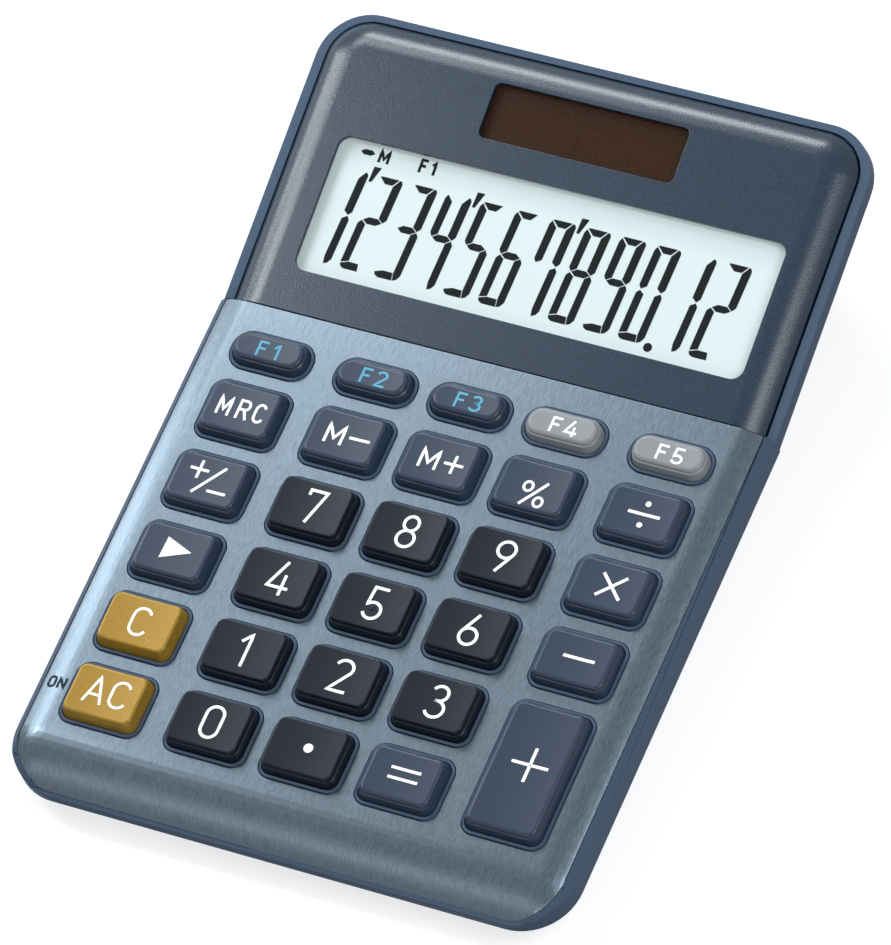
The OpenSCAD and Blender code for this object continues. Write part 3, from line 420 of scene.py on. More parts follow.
def ring_stack(name, sizes, rings):
    """A tree that stacks rounded rectangles into one closed solid. Its inputs are the named sizes, and rings
    gives an (inset, height, corner radius) for each ring, from one closed end to the other. A fourth number
    says how deep the ring is dished."""
    tree = bpy.data.node_groups.new(name, "GeometryNodeTree")
    for size in sizes:
        tree.interface.new_socket(size, in_out="INPUT", socket_type="NodeSocketFloat")
    tree.interface.new_socket("Finish", in_out="INPUT", socket_type="NodeSocketMaterial")
    tree.interface.new_socket("Solid", in_out="OUTPUT", socket_type="NodeSocketGeometry")
    given = put(tree, "NodeGroupInput").outputs
    value = {size: Size(tree, given[size]) for size in sizes}
    stack = rings(value)

    # A grid with one row for each ring. Its columns run round the ring: four times a corner's arc, and then
    # the side after it.
    quarter = CORNER_STEPS + 1 + SIDE_STEPS
    columns = 4 * quarter
    grid = put(tree, "GeometryNodeMeshGrid", {"Size X": 1.0, "Size Y": 1.0, "Vertices X": columns + 1,
                                              "Vertices Y": len(stack)})
    spot = put(tree, "ShaderNodeSeparateXYZ", {0: put(tree, "GeometryNodeInputPosition").outputs[0]}).outputs
    column = ((Size(tree, spot["X"]) + 0.5) * columns).work("ROUND")
    row = ((Size(tree, spot["Y"]) + 0.5) * (len(stack) - 1)).work("ROUND")
    corner = (column * (1 / quarter) + 0.001).work("FLOOR")
    within = column - corner * quarter
    turn = (corner + within.work("MINIMUM", CORNER_STEPS) * (1 / CORNER_STEPS)) * (math.pi / 2)
    along_side = (within - CORNER_STEPS).work("MAXIMUM", 0.0) * (1 / (SIDE_STEPS + 1))
    here, there = [(corner + k) * (math.pi / 2) for k in (0.5, 1.5)]
    middle_x, middle_y = [here.work(wave) + (there.work(wave) - here.work(wave)) * along_side
                          for wave in ("COSINE", "SINE")]

    def by_row(part):
        """One number of each ring's entry, picked by the row."""
        switch = put(tree, "GeometryNodeIndexSwitch", data_type="FLOAT")
        while len(switch.index_switch_items) < len(stack):
            switch.index_switch_items.new()
        tree.links.new(row.socket, switch.inputs["Index"])
        for i, ring in enumerate(stack):
            if part < len(ring) and isinstance(ring[part], Size):
                tree.links.new(ring[part].socket, switch.inputs[i + 1])
            elif part < len(ring):
                switch.inputs[i + 1].default_value = ring[part]
        return Size(tree, switch.outputs[0])

    # Each point of the grid moves to its place on its ring, and the dished rings sag towards their middle
    inset, height, radius, hollow = by_row(0), by_row(1), by_row(2), by_row(3)
    across = (value["Half Width"] - inset - radius).work("MAXIMUM", 0.0)
    along = (value["Half Length"] - inset - radius).work("MAXIMUM", 0.0)
    x = middle_x * math.sqrt(2) * across + radius * turn.work("COSINE")
    y = middle_y * math.sqrt(2) * along + radius * turn.work("SINE")
    share = x.work("DIVIDE", value["Half Width"])
    z = height - hollow * (share * share * -1.0 + 1.0).work("MAXIMUM", 0.0)
    point = put(tree, "ShaderNodeCombineXYZ", {0: x.socket, 1: y.socket, 2: z.socket}).outputs[0]
    placed = put(tree, "GeometryNodeSetPosition", {"Geometry": grid.outputs["Mesh"], "Position": point})
    merged = put(tree, "GeometryNodeMergeByDistance", {"Geometry": placed.outputs[0], "Distance": 2 * WELD})
    solid = merged.outputs[0]
    if "Stem Spacing" in sizes:
        # Two stems, which merge into one where the spacing is nothing
        depth = value["Height"] - TOP_T - value["Stem Foot"] + STEM_OVERLAP
        rod = put(tree, "GeometryNodeMeshCylinder",
                  {"Vertices": STEM_FACES, "Radius": STEM_R, "Depth": depth.socket})
        start = put(tree, "ShaderNodeCombineXYZ", {1: (value["Stem Spacing"] * -0.5).socket,
                                                   2: (value["Stem Foot"] + depth * 0.5).socket})
        step = put(tree, "ShaderNodeCombineXYZ", {1: value["Stem Spacing"].socket})
        line = put(tree, "GeometryNodeMeshLine", {"Count": 2, "Start Location": start.outputs[0],
                                                  "Offset": step.outputs[0]})
        apart = put(tree, "GeometryNodeMergeByDistance", {"Geometry": line.outputs[0], "Distance": 0.01 * MM})
        rods = put(tree, "GeometryNodeInstanceOnPoints", {"Points": apart.outputs[0],
                                                          "Instance": rod.outputs["Mesh"]})
        join = put(tree, "GeometryNodeJoinGeometry")
        tree.links.new(rods.outputs[0], join.inputs[0])
        tree.links.new(solid, join.inputs[0])
        solid = join.outputs[0]
    real = put(tree, "GeometryNodeRealizeInstances", {"Geometry": solid})
    coated = put(tree, "GeometryNodeSetMaterial", {"Geometry": real.outputs[0], "Material": given["Finish"]})
    put(tree, "NodeGroupOutput", {0: coated.outputs[0]})
    return tree


def grown(name, tree, sizes):
    """The plain mesh that a tree makes with these sizes."""
    host = bpy.data.objects.new(name, bpy.data.meshes.new(name))
    bpy.context.collection.objects.link(host)
    modifier = host.modifiers.new(tree.name, "NODES")
    modifier.node_group = tree
    for item in tree.interface.items_tree:
        if item.in_out == "INPUT":
            modifier[item.identifier] = sizes[item.name]
    graph = bpy.context.evaluated_depsgraph_get()
    mesh = bpy.data.meshes.new_from_object(host.evaluated_get(graph), depsgraph=graph)
    bpy.data.objects.remove(host)
    mesh.name = name
    return mesh


def cap_rings(size):
    """A key cap from the ceiling of its hollow, down inside, round the lip and up to the middle of its top.
    Groove is the width of its step."""
    height, foot, corner, edge = size["Height"], size["Foot"], size["Corner"], size["Edge"]
    groove, dish = size["Groove"], size["Dish"]
    narrow = size["Half Length"].work("MINIMUM", size["Half Width"])
    ceiling = height - TOP_T
    hollow = corner - WALL
    step_z = height * STEP_AT
    reach_in = size["Lean"] * LEAN_AT_STEP
    rim = size["Lean"] + groove
    rings = [
        (narrow, ceiling, 0.0),
        (WALL, ceiling, hollow),
        (WALL, foot, hollow),
        (-LIP_W, foot, corner + LIP_W),
        (-LIP_W, foot + LIP_T, corner + LIP_W),
        (0.0, foot + LIP_T, corner),
        (0.0, LEAN_FROM, corner),
        (reach_in, step_z, corner - reach_in),
        (reach_in + groove, step_z + groove * STEP_RISE, corner - reach_in - groove),
        (rim, height - edge, corner - rim, dish),
    ]
    for turn in EDGE_TURNS:
        inward = rim + edge * (1 - math.cos(math.radians(turn)))
        down = edge * (1 - math.sin(math.radians(turn)))
        rings.append((inward, height - down, corner - inward * CORNER_SHARE, dish))
    flat = rim + edge
    for share in TOP_RINGS:
        inward = flat + (narrow - flat) * share
        rings.append((inward, height, (corner - flat * CORNER_SHARE) * (1 - share), dish))
    return rings


CAP_SIZES = ["Half Width", "Half Length", "Corner", "Height", "Foot", "Lean", "Edge", "Groove", "Dish",
             "Stem Foot", "Stem Spacing"]
cap_tree = ring_stack("key_cap", CAP_SIZES, cap_rings)

black = moulded("near_black_keys", paint(20, 26, 37),
                roughness=0.27, grain=0.16, depth=0.003, mottle=0.10, gloss=0.16)
blue = moulded("blue_grey_keys", paint(43, 55, 72),
               roughness=0.30, grain=0.16, depth=0.003, mottle=0.06, gloss=0.21)
grey = moulded("light_grey_keys", paint(127, 131, 134),
               roughness=0.36, grain=0.16, depth=0.003, mottle=0.05, gloss=0.25)
gold = moulded("gold_keys", paint(144, 113, 38),
               roughness=0.30, grain=0.20, depth=0.004, mottle=0.16, metallic=0.15, gloss=0.2)

# Finish, slot, softness of the edge, width of the step under the top, dish, and corner radius, the last four
# in millimetres
CAP_KINDS = {
    "black": (black, "key_black", 0.24, 0.15, 0.32, 2.2),
    "blue": (blue, "key_blue", 0.75, 0.0, 0.28, 2.2),
    "pill": (blue, "key_blue", 0.85, 0.0, 0.28, 3.2),
    "grey_pill": (grey, "key_grey", 0.85, 0.0, 0.28, 3.2),
    "gold": (gold, "key_gold", 0.50, 0.0, 0.28, 2.2),
}
digits = [f"key_{n}" for n in range(10)] + ["key_point"]
kind_of = {node: "black" for node in digits}
kind_of.update({node: "blue" for node in (
    "key_memory_recall", "key_memory_minus", "key_memory_plus", "key_percent", "key_divide", "key_sign",
    "key_multiply", "key_correct", "key_minus", "key_plus", "key_equals")})
kind_of.update({f"key_function_{n}": "pill" for n in (1, 2, 3)})
kind_of.update({f"key_function_{n}": "grey_pill" for n in (4, 5)})
kind_of.update({"key_clear": "gold", "key_all_clear": "gold"})

row_pitch = local_box("key_7", keypad)[0].y - local_box("key_4", keypad)[0].y
key_place = {}
key_top = {}
for node, kind in kind_of.items():
    finish, slot, edge, groove, dish, corner = CAP_KINDS[kind]
    low, high = local_box(node, keypad)
    middle = (low + high) / 2
    mesh = grown(node.replace("key_", "cap_"), cap_tree, {
        "Half Width": (high.x - low.x) / 2 - LIP_W, "Half Length": (high.y - low.y) / 2 - LIP_W,
        "Corner": corner * MM, "Height": high.z, "Foot": low.z, "Lean": CAP_LEAN - groove * MM,
        "Edge": edge * MM, "Groove": groove * MM, "Dish": dish * MM, "Stem Foot": low.z + STEM_LIFT,
        "Stem Spacing": row_pitch if node == "key_plus" else 0.0, "Finish": finish})
    key_place[node] = keypad @ Matrix.Translation((middle.x, middle.y, 0))
    key_top[node] = mesh
    mesh.transform(key_place[node])
    show(mesh, node.replace("key_", "cap_"), node, replaces=[node], angle=25)

# ---------------------------------------------------------------- key legends
# Pad-printed marks on the caps: a thin layer of ink in strokes of even width. Digits and signs are white,
# and the marks of the blue function keys pale cyan.
INK = 0.04 * MM
# The longest straight part of a stroke, so that it can follow a dished top, and the longest mitre, as a
# multiple of half the pen
STROKE_PART = 1.2 * MM
LONGEST_MITRE = 1.6
# A height over the keypad that is above every cap
CLEAR_OF_CAPS = 8 * MM


def arc(x, y, rx, ry, start, end):
    """Points along part of an ellipse, one every 15 degrees or so."""
    count = max(2, round(abs(end - start) / 15))
    turns = [math.radians(start + (end - start) * i / count) for i in range(count + 1)]
    return [(x + rx * math.cos(t), y + ry * math.sin(t)) for t in turns]


RING = arc(0, 0, 1, 1, 0, 360)
SIX = [[(0.4, 1), (-0.86, -0.2)], arc(0, -0.47, 1, 0.53, 0, 360)]
ZERO = [arc(0, 0.47, 1, 0.53, 0, 180) + arc(0, -0.47, 1, 0.53, 180, 360) + [(1, 0.47)]]
# The strokes of each sign, in a box that runs from -1 to 1 both ways
SIGNS = {
    "0": ZERO,
    "1": [[(-0.85, 0.45), (0.1, 1), (0.1, -1.1)]],
    "2": [arc(0, 0.5, 1, 0.5, 160, -30) + [(-0.95, -1), (1.1, -1)]],
    "3": [arc(-0.05, 0.53, 0.9, 0.47, 155, -90) + [(-0.4, 0.06)],
          [(-0.4, 0.06)] + arc(-0.05, -0.47, 1.05, 0.53, 90, -155)],
    "4": [[(0.3, 1.1), (-1.1, -0.6), (1.35, -0.6)], [(0.6, 0.25), (0.6, -1.1)]],
    "5": [[(1, 1), (-0.62, 1), (-0.78, -0.06)] + arc(-0.02, -0.47, 1.0, 0.53, 138, -158)],
    "6": SIX,
    "7": [[(-0.95, 0.66), (-0.95, 1), (1, 1), (-0.25, -1.1)]],
    "8": [arc(0, 0.53, 0.82, 0.47, 0, 360), arc(0, -0.47, 1, 0.53, 0, 360)],
    "9": [[(-x, -y) for x, y in stroke] for stroke in SIX],
    "A": [[(-1, -1.1), (0, 1), (1, -1.1)], [(-0.68, -0.42), (0.68, -0.42)]],
    "C": [arc(0, 0.42, 1, 0.58, 22, 180) + arc(0, -0.42, 1, 0.58, 180, 338)],
    "F": [[(-0.8, -1.1), (-0.8, 1), (1, 1)], [(-0.8, 0.05), (0.7, 0.05)]],
    "M": [[(-1, -1.1), (-1, 1), (0, -0.5), (1, 1), (1, -1.1)]],
    "N": [[(-1, -1.1), (-1, 1), (1, -1), (1, 1.1)]],
    "O": ZERO,
    "R": [[(-1, -1.1), (-1, 1), (0.2, 1)] + arc(0.2, 0.5, 0.75, 0.5, 75, -90) + [(-1, 0.0)],
          [(0.1, 0.0), (1, -1.1)]],
    "ring": [RING],
    "bar": [[(-1, 0), (1, 0)]],
    "cross": [[(-1, 0), (1, 0)], [(0, -1), (0, 1)]],
    "times": [[(-1, -1), (1, 1)], [(-1, 1), (1, -1)]],
    "slash": [[(-1, -1), (1, 1)]],
    "equals": [[(-1, 1), (1, 1)], [(-1, -1), (1, -1)]],
}


def patch(work, points, thick=INK):
    """A flat closed outline, given in metres and counter-clockwise, raised into a thin plate."""
    low = [work.verts.new((x, y, 0)) for x, y in points]
    high = [work.verts.new((x, y, thick)) for x, y in points]
    work.faces.new(high)
    work.faces.new(low[::-1])
    for i in range(len(points)):
        j = (i + 1) % len(points)
        work.faces.new((low[i], low[j], high[j], high[i]))


def stroke(work, points, pen):
    """A ribbon of ink as wide as the pen along a line of points, with mitred corners."""
    line = [Vector(points[0])]
    for p in points[1:]:
        start = line[-1]
        parts = math.ceil((Vector(p) - start).length / STROKE_PART)
        line += [start.lerp(p, (i + 1) / parts) for i in range(parts)]
    closed = (line[0] - line[-1]).length < 1e-9
    if closed:
        line.pop()
    count = len(line)
    sides = []
    for i, p in enumerate(line):
        before = line[i - 1] if closed or i else None
        after = line[(i + 1) % count] if closed or i + 1 < count else None
        ahead = ((after or p) - (p if after else before)).normalized()
        behind = (p - before).normalized() if before else ahead
        normal = Vector((-ahead.y - behind.y, ahead.x + behind.x)).normalized()
        mitre = min(LONGEST_MITRE, 1 / max(0.05, normal.dot(Vector((-ahead.y, ahead.x)))))
        sides.append((p + normal * pen / 2 * mitre, p - normal * pen / 2 * mitre))
    corners = [[work.verts.new((*side, z)) for side in pair for z in (0, INK)] for pair in sides]
    for i in range(count if closed else count - 1):
        a, b = corners[i], corners[(i + 1) % count]
        for one, two in ((1, 3), (3, 2), (2, 0), (0, 1)):
            work.faces.new((a[one], a[two], b[two], b[one]))
    if not closed:
        for end, turn in ((corners[0], (0, 2, 3, 1)), (corners[-1], (1, 3, 2, 0))):
            work.faces.new([end[i] for i in turn])


def sign(work, name, x, y, half_w, half_h, pen):
    """Writes one sign with its middle at x, y. Sizes are in millimetres."""
    for line in SIGNS[name]:
        stroke(work, [((x + px * half_w) * MM, (y + py * half_h) * MM) for px, py in line], pen * MM)


def disc(work, x, y, radius):
    """A round dot. Sizes are in millimetres."""
    patch(work, [((x + px * radius) * MM, (y + py * radius) * MM) for px, py in RING[:-1]])


def printed(work, name, place, body, finish, onto=None):
    """Finishes a print: its faces point outwards, and it follows the surface of the mesh that it lies on."""
    bmesh.ops.recalc_face_normals(work, faces=work.faces)
    if onto:
        skin = BVHTree.FromPolygons([v.co for v in onto.vertices], [face.vertices for face in onto.polygons])
        to_place = place.inverted()
        down = place.to_3x3() @ Vector((0, 0, -1))
        for vertex in work.verts:
            start = place @ Vector((vertex.co.x, vertex.co.y, CLEAR_OF_CAPS))
            vertex.co.z += (to_place @ skin.ray_cast(start, down)[0]).z
    mesh = meshed(name, work)
    mesh.transform(place)
    return show(mesh, name, body, finish)


def ink(name, colour):
    """Pad-printing ink: matt, a little uneven, and slightly orange-peeled."""
    return moulded(name, colour, roughness=0.6, grain=0.10, depth=0.001, mottle=0.03, gloss=0.1)


white_ink = ink("white_ink", paint(250, 252, 252))
cyan_ink = ink("cyan_ink", paint(92, 160, 188))
dark_ink = ink("dark_ink", paint(22, 40, 54))

# Signs on each key: name, then x, y, half width, half height and pen width in millimetres
LEGENDS = {
    "key_memory_recall": [("M", -3.5, 0, 1.2, 2.0, 0.55), ("R", 0.75, 0, 1.1, 2.0, 0.55),
                          ("C", 4.35, 0, 1.0, 2.0, 0.55)],
    "key_memory_minus": [("M", -2.0, 0.05, 1.75, 2.05, 0.6), ("bar", 3.45, -0.03, 2.28, 1, 0.6)],
    "key_memory_plus": [("M", -2.1, 0.05, 1.75, 2.05, 0.6), ("cross", 3.3, -0.05, 2.12, 2.08, 0.6)],
    "key_percent": [("slash", 0.53, -1.67, 2.2, 2.9, 0.6), ("ring", -1.15, -0.35, 0.95, 1.05, 0.55),
                    ("ring", 2.1, -3.3, 0.95, 1.05, 0.55)],
    "key_divide": [("bar", 0.63, 0.02, 3.47, 1, 0.65)],
    "key_sign": [("cross", -2.4, 1.8, 2.05, 2.05, 0.6), ("slash", 0.43, -0.05, 2.63, 3.45, 0.6),
                 ("bar", 3.0, -2.4, 2.1, 1, 0.6)],
    "key_multiply": [("times", 0.65, 0.03, 2.6, 2.55, 0.65)],
    "key_minus": [("bar", 0.69, 0.14, 3.41, 1, 0.65)],
    "key_plus": [("cross", 0.54, 0.87, 3.95, 3.82, 0.65)],
    "key_equals": [("equals", 0.5, 0.24, 3.25, 1.09, 0.62)],
    "key_clear": [("C", 0.12, 0.07, 1.85, 3.02, 0.58)],
    "key_all_clear": [("A", -2.2, 0.42, 1.95, 2.85, 0.56), ("C", 3.07, 0.4, 1.8, 2.85, 0.56)],
}
LEGENDS.update({f"key_{n}": [(str(n), 0.58, 0.08, 1.88, 3.48, 0.64)] for n in range(10)})
LEGENDS.update({f"key_function_{n}": [("F", -1.35, -0.2, 1.05, 1.55, 0.5),
                                      (str(n), 2.1, -0.2, 1.05, 1.6, 0.5)] for n in range(1, 6)})
# Dots on each key: x, y and radius. The correction key has an arrow head.
DOTS = {"key_divide": [(0.62, 2.44, 0.6), (0.62, -2.43, 0.6)], "key_point": [(0.67, 0.17, 1.0)]}
ARROW = [(-2.36, -2.28), (3.9, 0.39), (-2.2, 2.67)]

for node in kind_of:
    work = bmesh.new()
    for mark in LEGENDS.get(node, []):
        sign(work, *mark)
    for dot in DOTS.get(node, []):
        disc(work, *dot)
    if node == "key_correct":
        patch(work, [(x * MM, y * MM) for x, y in ARROW])
    key_ink = cyan_ink if kind_of[node] == "pill" else white_ink
    printed(work, node.replace("key_", "legend_"), key_place[node], node, key_ink, key_top[node])

# The pip that a finger finds on the middle digit: its place on the cap, and radius and height of its rings
PIP_X = 0.47
PIP_Y = -1.12
PIP_RINGS = ((0.6, -0.05), (0.56, 0.12), (0.38, 0.26), (0.16, 0.31))
work = bmesh.new()
pip = [[work.verts.new(((PIP_X + px * r) * MM, (PIP_Y + py * r) * MM, z * MM)) for px, py in RING[:-1]]
       for r, z in PIP_RINGS]
for low_ring, high_ring in zip(pip, pip[1:]):
    for i in range(len(low_ring)):
        work.faces.new((low_ring[i - 1], low_ring[i], high_ring[i], high_ring[i - 1]))
work.faces.new(pip[-1])
work.faces.new(pip[0][::-1])
printed(work, "touch_pip", key_place["key_5"], "key_5", black, key_top["key_5"])

# ---------------------------------------------------------------- print on the faceplate
# The two letters beside the all-clear key, printed on the metal in dark ink. They lie on the plate's rolled
# side and follow it. Each has its x, measured from the middle of the key.
PLATE_SIGNS = (("O", -13.35), ("N", -11.05))
work = bmesh.new()
for name, x in PLATE_SIGNS:
    sign(work, name, x, 0.9, 0.72, 1.12, 0.55)
printed(work, "faceplate_print", key_place["key_all_clear"], "case", dark_ink, plate)

# ---------------------------------------------------------------- display cover
# The dark slate frame over the display, moulded with a fine sparkling grain. It rolls down at its sides and
# back, is screwed on from underneath, and carries the two windows.
COVER_EDGE = 0.12 * MM
slate = moulded("slate_cover", paint(14, 37, 56),
                roughness=0.27, grain=0.34, depth=0.026, mottle=0.40, gloss=0.42)
shell("display_cover", "display_frame", slate, cover_up, COVER_EDGE)

# ---------------------------------------------------------------- windows
# A clear window over the display and a smoky brown one over the solar cell. Both are polished acrylic sheet,
# glued into the cover from behind.


def acrylic(name, colour, alpha):
    """A polished sheet, with the faint unevenness that cast acrylic has."""
    finish, tree, shader, place = new_finish(name, colour, 0.05, gloss=0.12)
    shader.inputs["Alpha"].default_value = alpha
    shader.inputs["IOR"].default_value = 1.49
    wave = noise(tree, place, 9.0)
    tree.links.new(spread(tree, wave, 0.03, 0.08), shader.inputs["Roughness"])
    bump = put(tree, "ShaderNodeBump", {"Height": wave, "Distance": 0.01 * MM})
    tree.links.new(bump.outputs[0], shader.inputs["Normal"])
    return finish


def dress(finish, *nodes):
    """Gives CAD nodes their finish. Their shapes stay as they are."""
    for node in nodes:
        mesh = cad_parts[node].data
        mesh.materials.clear()
        mesh.materials.append(finish)


dress(acrylic("clear_window", paint(120, 130, 130), 0.03), "display_lens")
dress(acrylic("brown_window", paint(48, 30, 20), 0.30), "solar_lens")

# ---------------------------------------------------------------- liquid crystal display
# A glass cell with a pale green-grey field, which also glows faintly: painted light that lifts the shade the
# window's edges cast on it. The lit segments are thin black shapes on it: twelve leaning seven-segment
# digits, three thousands marks, a decimal point, and the small signs of the top row.
LCD_INK = 0.05 * MM
# The row of digits, in millimetres: from one digit to the next, a digit's width, how far it leans for its
# height, how far the row stands from the seam, and the right side of the first digit
DIGIT_PITCH = 7.82
DIGIT_W = 5.75
DIGIT_SLANT = 0.07
DIGITS_FOOT = 12.15
FIRST_RIGHT = -42.04
# Outline of each segment of a digit, from its lower left corner, in millimetres
SEGMENTS = {
    "a": [(0.5, 20.6), (2.05, 19.3), (3.7, 19.3), (4.75, 20.75), (0.9, 20.75)],
    "b": [(5.0, 20.7), (3.95, 19.1), (3.95, 11.9), (5.1, 11.1), (5.75, 11.9), (5.75, 20.0), (5.4, 20.6)],
    "c": [(5.15, 10.9), (4.1, 10.2), (4.05, 1.6), (4.4, 0.0), (5.2, 0.35), (5.75, 1.3), (5.75, 10.1)],
    "d": [(3.9, 1.6), (1.75, 1.65), (0.0, 1.05), (0.35, 0.4), (1.1, 0.0), (4.25, 0.0)],
    "e": [(0.6, 10.85), (0.0, 10.1), (0.0, 1.3), (1.65, 1.8), (1.7, 10.1)],
    "f": [(0.4, 20.4), (0.0, 19.6), (0.0, 11.9), (0.6, 11.1), (1.7, 11.85), (1.75, 19.1)],
    "g": [(0.8, 11.0), (1.9, 10.25), (3.85, 10.25), (4.95, 11.0), (3.85, 11.75), (1.9, 11.75)],
}
LIT = {"0": "abcdef", "1": "bc", "2": "abged", "3": "abgcd", "4": "fgbc", "5": "afgcd", "6": "afgedc",
       "7": "fabc", "8": "abcdefg", "9": "abcdfg"}
# The mark after a thousands digit, measured as the segments are, and the digits that have one or the point
THOUSANDS_MARK = [(6.22, 19.0), (6.85, 19.0), (7.81, 22.35), (6.17, 22.35)]
MARKED = (0, 3, 6)
POINTED = 9
POINT_R = 0.95
# How far the point lies to the right of its digit, and below the foot of the row
POINT_RIGHT = 1.4
POINT_DOWN = 0.35
# The top row: half height and pen of its letters, the minus sign and its place, then the letters with their x
# and half width
TOP_ROW = 37.0
TOP_HALF_H = 1.3
TOP_PEN = 0.62
MINUS_SIGN = [(-1.65, 0), (-0.8, -0.58), (0.8, -0.58), (1.65, 0), (0.8, 0.58), (-0.8, 0.58)]
MINUS_PLACE = (-42.5, 37.07)
TOP_SIGNS = (("M", -38.7, 0.95), ("F", -29.9, 0.75), ("1", -27.4, 0.7))


def lcd_outline(work, points, x, y, slant=DIGIT_SLANT):
    """One dark shape of the display, leaning as its digits do."""
    patch(work, [((x + px + slant * py) * MM, (y + py) * MM) for px, py in points], LCD_INK)


work = bmesh.new()
for i, digit in enumerate("123456789012"):
    left = FIRST_RIGHT + i * DIGIT_PITCH - DIGIT_W
    for segment in LIT[digit]:
        lcd_outline(work, SEGMENTS[segment], left, DIGITS_FOOT)
    if i in MARKED:
        lcd_outline(work, THOUSANDS_MARK, left, DIGITS_FOOT)
point_x = FIRST_RIGHT + POINTED * DIGIT_PITCH + POINT_RIGHT
point = [(POINT_R * x, POINT_R * y) for x, y in RING[:-1]]
lcd_outline(work, point, point_x, DIGITS_FOOT - POINT_DOWN, slant=0)
lcd_outline(work, MINUS_SIGN, *MINUS_PLACE)
for name, x, half_w in TOP_SIGNS:
    sign(work, name, x, TOP_ROW, half_w, TOP_HALF_H, TOP_PEN)
lcd_face = local_box("lcd_cell", cover)[1].z
lcd_black = moulded("lcd_black", paint(12, 14, 14),
                    roughness=0.6, grain=0.10, depth=0.001, mottle=0.03, gloss=0.02)
printed(work, "lcd_segments", cover @ Matrix.Translation((0, 0, lcd_face)), "case", lcd_black)

lcd_field_painted_glow = moulded("lcd_field_painted_glow", paint(183, 195, 196),
                    roughness=0.5, grain=0.3, depth=0.001, mottle=0.015, gloss=0.1)
# The glow is painted light that fills the shade under the window's edges. The base colour is written darker
# than the field looks, and the emission makes up the rest.
field = lcd_field_painted_glow.node_tree.nodes["Principled BSDF"]
field.inputs["Emission Color"].default_value = paint(214, 229, 229)
field.inputs["Emission Strength"].default_value = 0.29
dress(lcd_field_painted_glow, "lcd_cell")
dress(moulded("silvered_film", paint(190, 196, 196),
              roughness=0.3, grain=0.2, depth=0.002, mottle=0.04, metallic=0.8), "lcd_reflector")

# ---------------------------------------------------------------- solar cell
# Dark brown silicon on a glass plate, held behind its window and wired to the board. Fine darker lines cross
# it, half its length apart.
SOLAR_LINE = 0.12 * MM


def silicon(name, length):
    """Silicon with a cloudy tone, crossed by fine lines that lie half the cell's length apart."""
    finish, tree, shader, place = new_finish(name, paint(58, 40, 32), 0.3, gloss=0.1)
    x = put(tree, "ShaderNodeSeparateXYZ", {0: place}).outputs["X"]
    phase = put(tree, "ShaderNodeMath", {0: x, 1: length / 4, 2: 0.0}, operation="PINGPONG").outputs[0]
    line = put(tree, "ShaderNodeMath", {0: phase, 1: SOLAR_LINE}, operation="LESS_THAN").outputs[0]
    cloudy = between(tree, noise(tree, place, 0.6), paint(60, 40, 28), paint(70, 47, 34))
    lined = put(tree, "ShaderNodeMix", {"Factor": line, 6: cloudy, 7: paint(54, 36, 26)}, data_type="RGBA")
    tree.links.new(lined.outputs[2], shader.inputs["Base Color"])
    return finish


solar_low, solar_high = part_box("solar_cell")
dress(silicon("solar_silicon", solar_high.x - solar_low.x), "solar_cell")

# ---------------------------------------------------------------- lower case
# A matt blue-grey moulded tub that draws in towards its floor. Screws go up through its posts into the upper
# case, and the battery door is let into its underside.
matt_blue = moulded("matt_blue_base", paint(84, 102, 126),
                    roughness=0.48, grain=0.30, depth=0.008, mottle=0.05, metallic=0.15)
dress(matt_blue, "lower_case", "battery_cover")

# ---------------------------------------------------------------- feet
# Four round black rubber feet, stuck into shallow seats under the lower case. Each has a rounded rim and a
# ring moulded into its sole.
FOOT_R = 4.5 * MM
# How far in from the side, and how high, each ring of the rim and the sole lies, in millimetres
SOLE = ((0, 0.5), (0.15, 0.15), (0.5, 0), (1.5, 0), (1.7, 0.25), (2.2, 0.25), (2.4, 0))


def foot_rings(size):
    """A foot from the middle of its back, over its rounded rim, to the middle of its sole."""
    radius, height = size["Half Width"], size["Height"]
    sole = [(inset * MM, z * MM, radius - inset * MM) for inset, z in SOLE]
    return [(radius, height, 0.0), (0.0, height, radius), *sole, (radius, 0.0, 0.0)]


foot_tree = ring_stack("rubber_foot", ["Half Width", "Half Length", "Height"], foot_rings)
rubber = moulded("black_rubber", paint(30, 30, 32), roughness=0.85, grain=0.2, depth=0.006, mottle=0.15)
for node in ("front_feet", "rear_feet"):
    low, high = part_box(node)
    work = bmesh.new()
    for x in (low.x + FOOT_R, high.x - FOOT_R):
        foot = grown("foot", foot_tree, {"Half Width": FOOT_R, "Half Length": FOOT_R, "Height": high.z,
                                         "Finish": rubber})
        foot.transform(Matrix.Translation((x, (low.y + high.y) / 2, 0)))
        work.from_mesh(foot)
    bmesh.ops.recalc_face_normals(work, faces=work.faces)
    name = node.replace("_feet", "_rubber_feet")
    show(meshed(name, work), name, "case", rubber, [node])

# ---------------------------------------------------------------- screws and battery
# Zinc-plated screws that hold the halves of the case, the cover, the board and the display's holder. The
# button cell is nickel-plated steel, and its two contacts are bent from sprung strip.


def plated(name, colour, roughness=0.28):
    """Plated steel with the small scratches of handling."""
    finish, tree, shader, place = new_finish(name, colour, roughness, metallic=1.0)
    scratch = noise(tree, place, 0.3, 4.0, (1, 0.15, 1))
    tone = between(tree, scratch, shade(colour, 0.9), shade(colour, 1.08))
    bump = put(tree, "ShaderNodeBump", {"Height": scratch, "Distance": 0.003 * MM})
    tree.links.new(spread(tree, scratch, roughness - 0.08, roughness + 0.12), shader.inputs["Roughness"])
    tree.links.new(tone, shader.inputs["Base Color"])
    tree.links.new(bump.outputs[0], shader.inputs["Normal"])
    return finish


dress(plated("zinc_plate", paint(186, 188, 192)), "board_screws", "cover_screws", "holder_screws",
      "case_screws", "battery_cover_screw")
dress(plated("cell_steel", paint(204, 205, 207), 0.22), "button_cell")
dress(plated("sprung_strip", paint(214, 196, 150), 0.3), "battery_contact_positive",
      "battery_contact_negative")

# ---------------------------------------------------------------- key mat
# One grey silicone sheet that lies on the board, with a hollow dome under each key and two under the tall
# one. The sheet stays still, and each dome is a piece of its own.
SHEET_T = 0.8 * MM
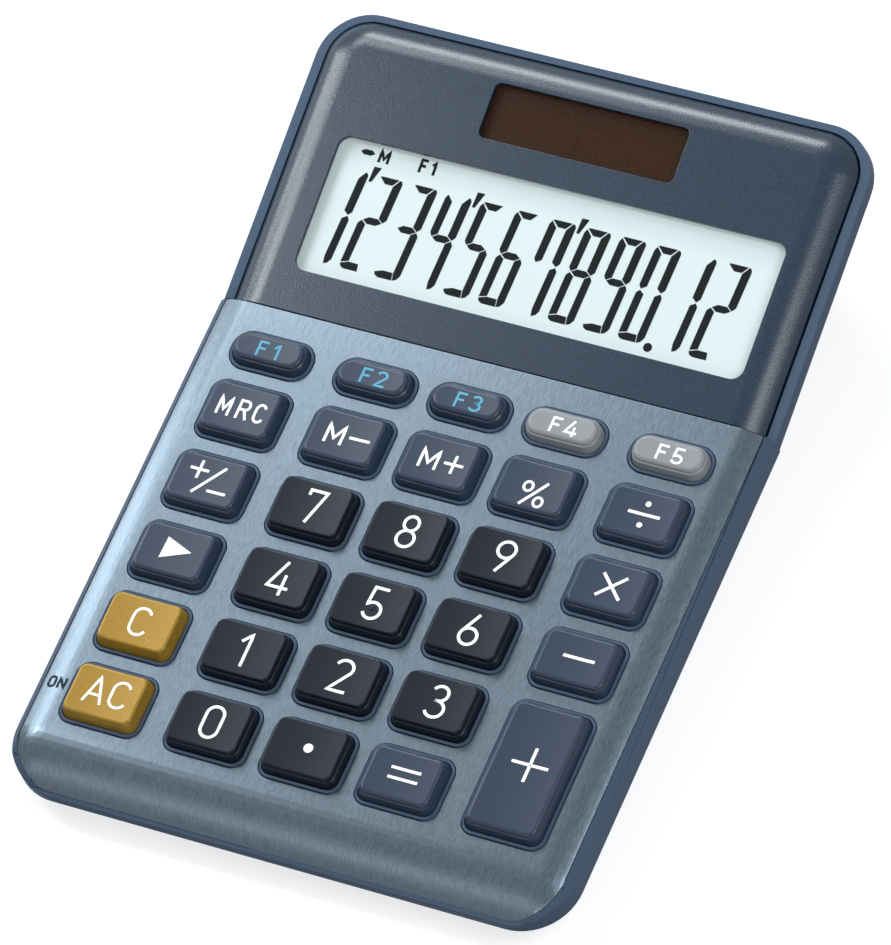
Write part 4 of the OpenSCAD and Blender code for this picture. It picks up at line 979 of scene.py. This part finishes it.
# The domes are parted from the sheet just above its top
PARTED_ABOVE = 0.05 * MM


def cut_mat(level, above):
    """The part of the mat above or below a level of the keypad, with the cut closed."""
    work = bmesh.new()
    work.from_mesh(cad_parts["key_mat"].data)
    bmesh.ops.remove_doubles(work, verts=work.verts, dist=WELD)
    cut = bmesh.ops.bisect_plane(work, geom=[*work.verts, *work.edges, *work.faces], plane_no=keypad_up,
                                 plane_co=keypad @ Vector((0, 0, level)), clear_outer=not above,
                                 clear_inner=above)
    rim = [part for part in cut["geom_cut"] if isinstance(part, bmesh.types.BMEdge)]
    bmesh.ops.triangle_fill(work, edges=rim, use_beauty=True, normal=-keypad_up if above else keypad_up)
    return work


silicone = moulded("grey_silicone", paint(142, 147, 154),
                   roughness=0.6, grain=0.4, depth=0.006, mottle=0.06)
mat_low, mat_high = local_box("key_mat", keypad)
dome_foot = mat_low.z + SHEET_T + PARTED_ABOVE

flat_sheet = meshed("mat_sheet", cut_mat(dome_foot, False))
show(flat_sheet, "mat_sheet", "case", silicone, ["key_mat"])
for node in kind_of:
    low, high = local_box(node, keypad)
    work = cut_mat(dome_foot, True)
    spots = [(v, to_keypad @ v.co) for v in work.verts]
    others = [v for v, p in spots if not (low.x < p.x < high.x and low.y < p.y < high.y)]
    bmesh.ops.delete(work, geom=others, context="VERTS")
    name = node.replace("key_", "mat_dome_")
    dome = show(meshed(name, work), name, "case", silicone, ["key_mat"])
    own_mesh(dome)

# ---------------------------------------------------------------- inside pieces
# What the closed case hides besides the key mat: the board with its parts, the holder, the flex and the
# wires. Each keeps its CAD shape.
dress(moulded("white_holder", paint(226, 226, 222), roughness=0.5), "lcd_holder")
dress(moulded("amber_film", paint(206, 152, 70),
              roughness=0.25, grain=0.4, depth=0.002, mottle=0.05, coat=0.3), "lcd_flex")
dress(moulded("black_sleeve", paint(30, 30, 32), roughness=0.4, grain=0.3, depth=0.004), "solar_wires")
dress(moulded("red_sleeve", paint(180, 34, 28), roughness=0.4, grain=0.3, depth=0.004), "battery_wires")
dress(moulded("brown_laminate", paint(120, 86, 44),
              roughness=0.4, grain=0.5, depth=0.010, mottle=0.18, coat=0.2), "main_board")
dress(moulded("black_resin", paint(20, 20, 23),
              roughness=0.3, grain=1.5, depth=0.030, mottle=0.15, coat=0.5), "controller_blob")
dress(moulded("blue_sleeve", paint(52, 82, 132),
              roughness=0.35, grain=0.4, depth=0.004, mottle=0.10), "board_components")
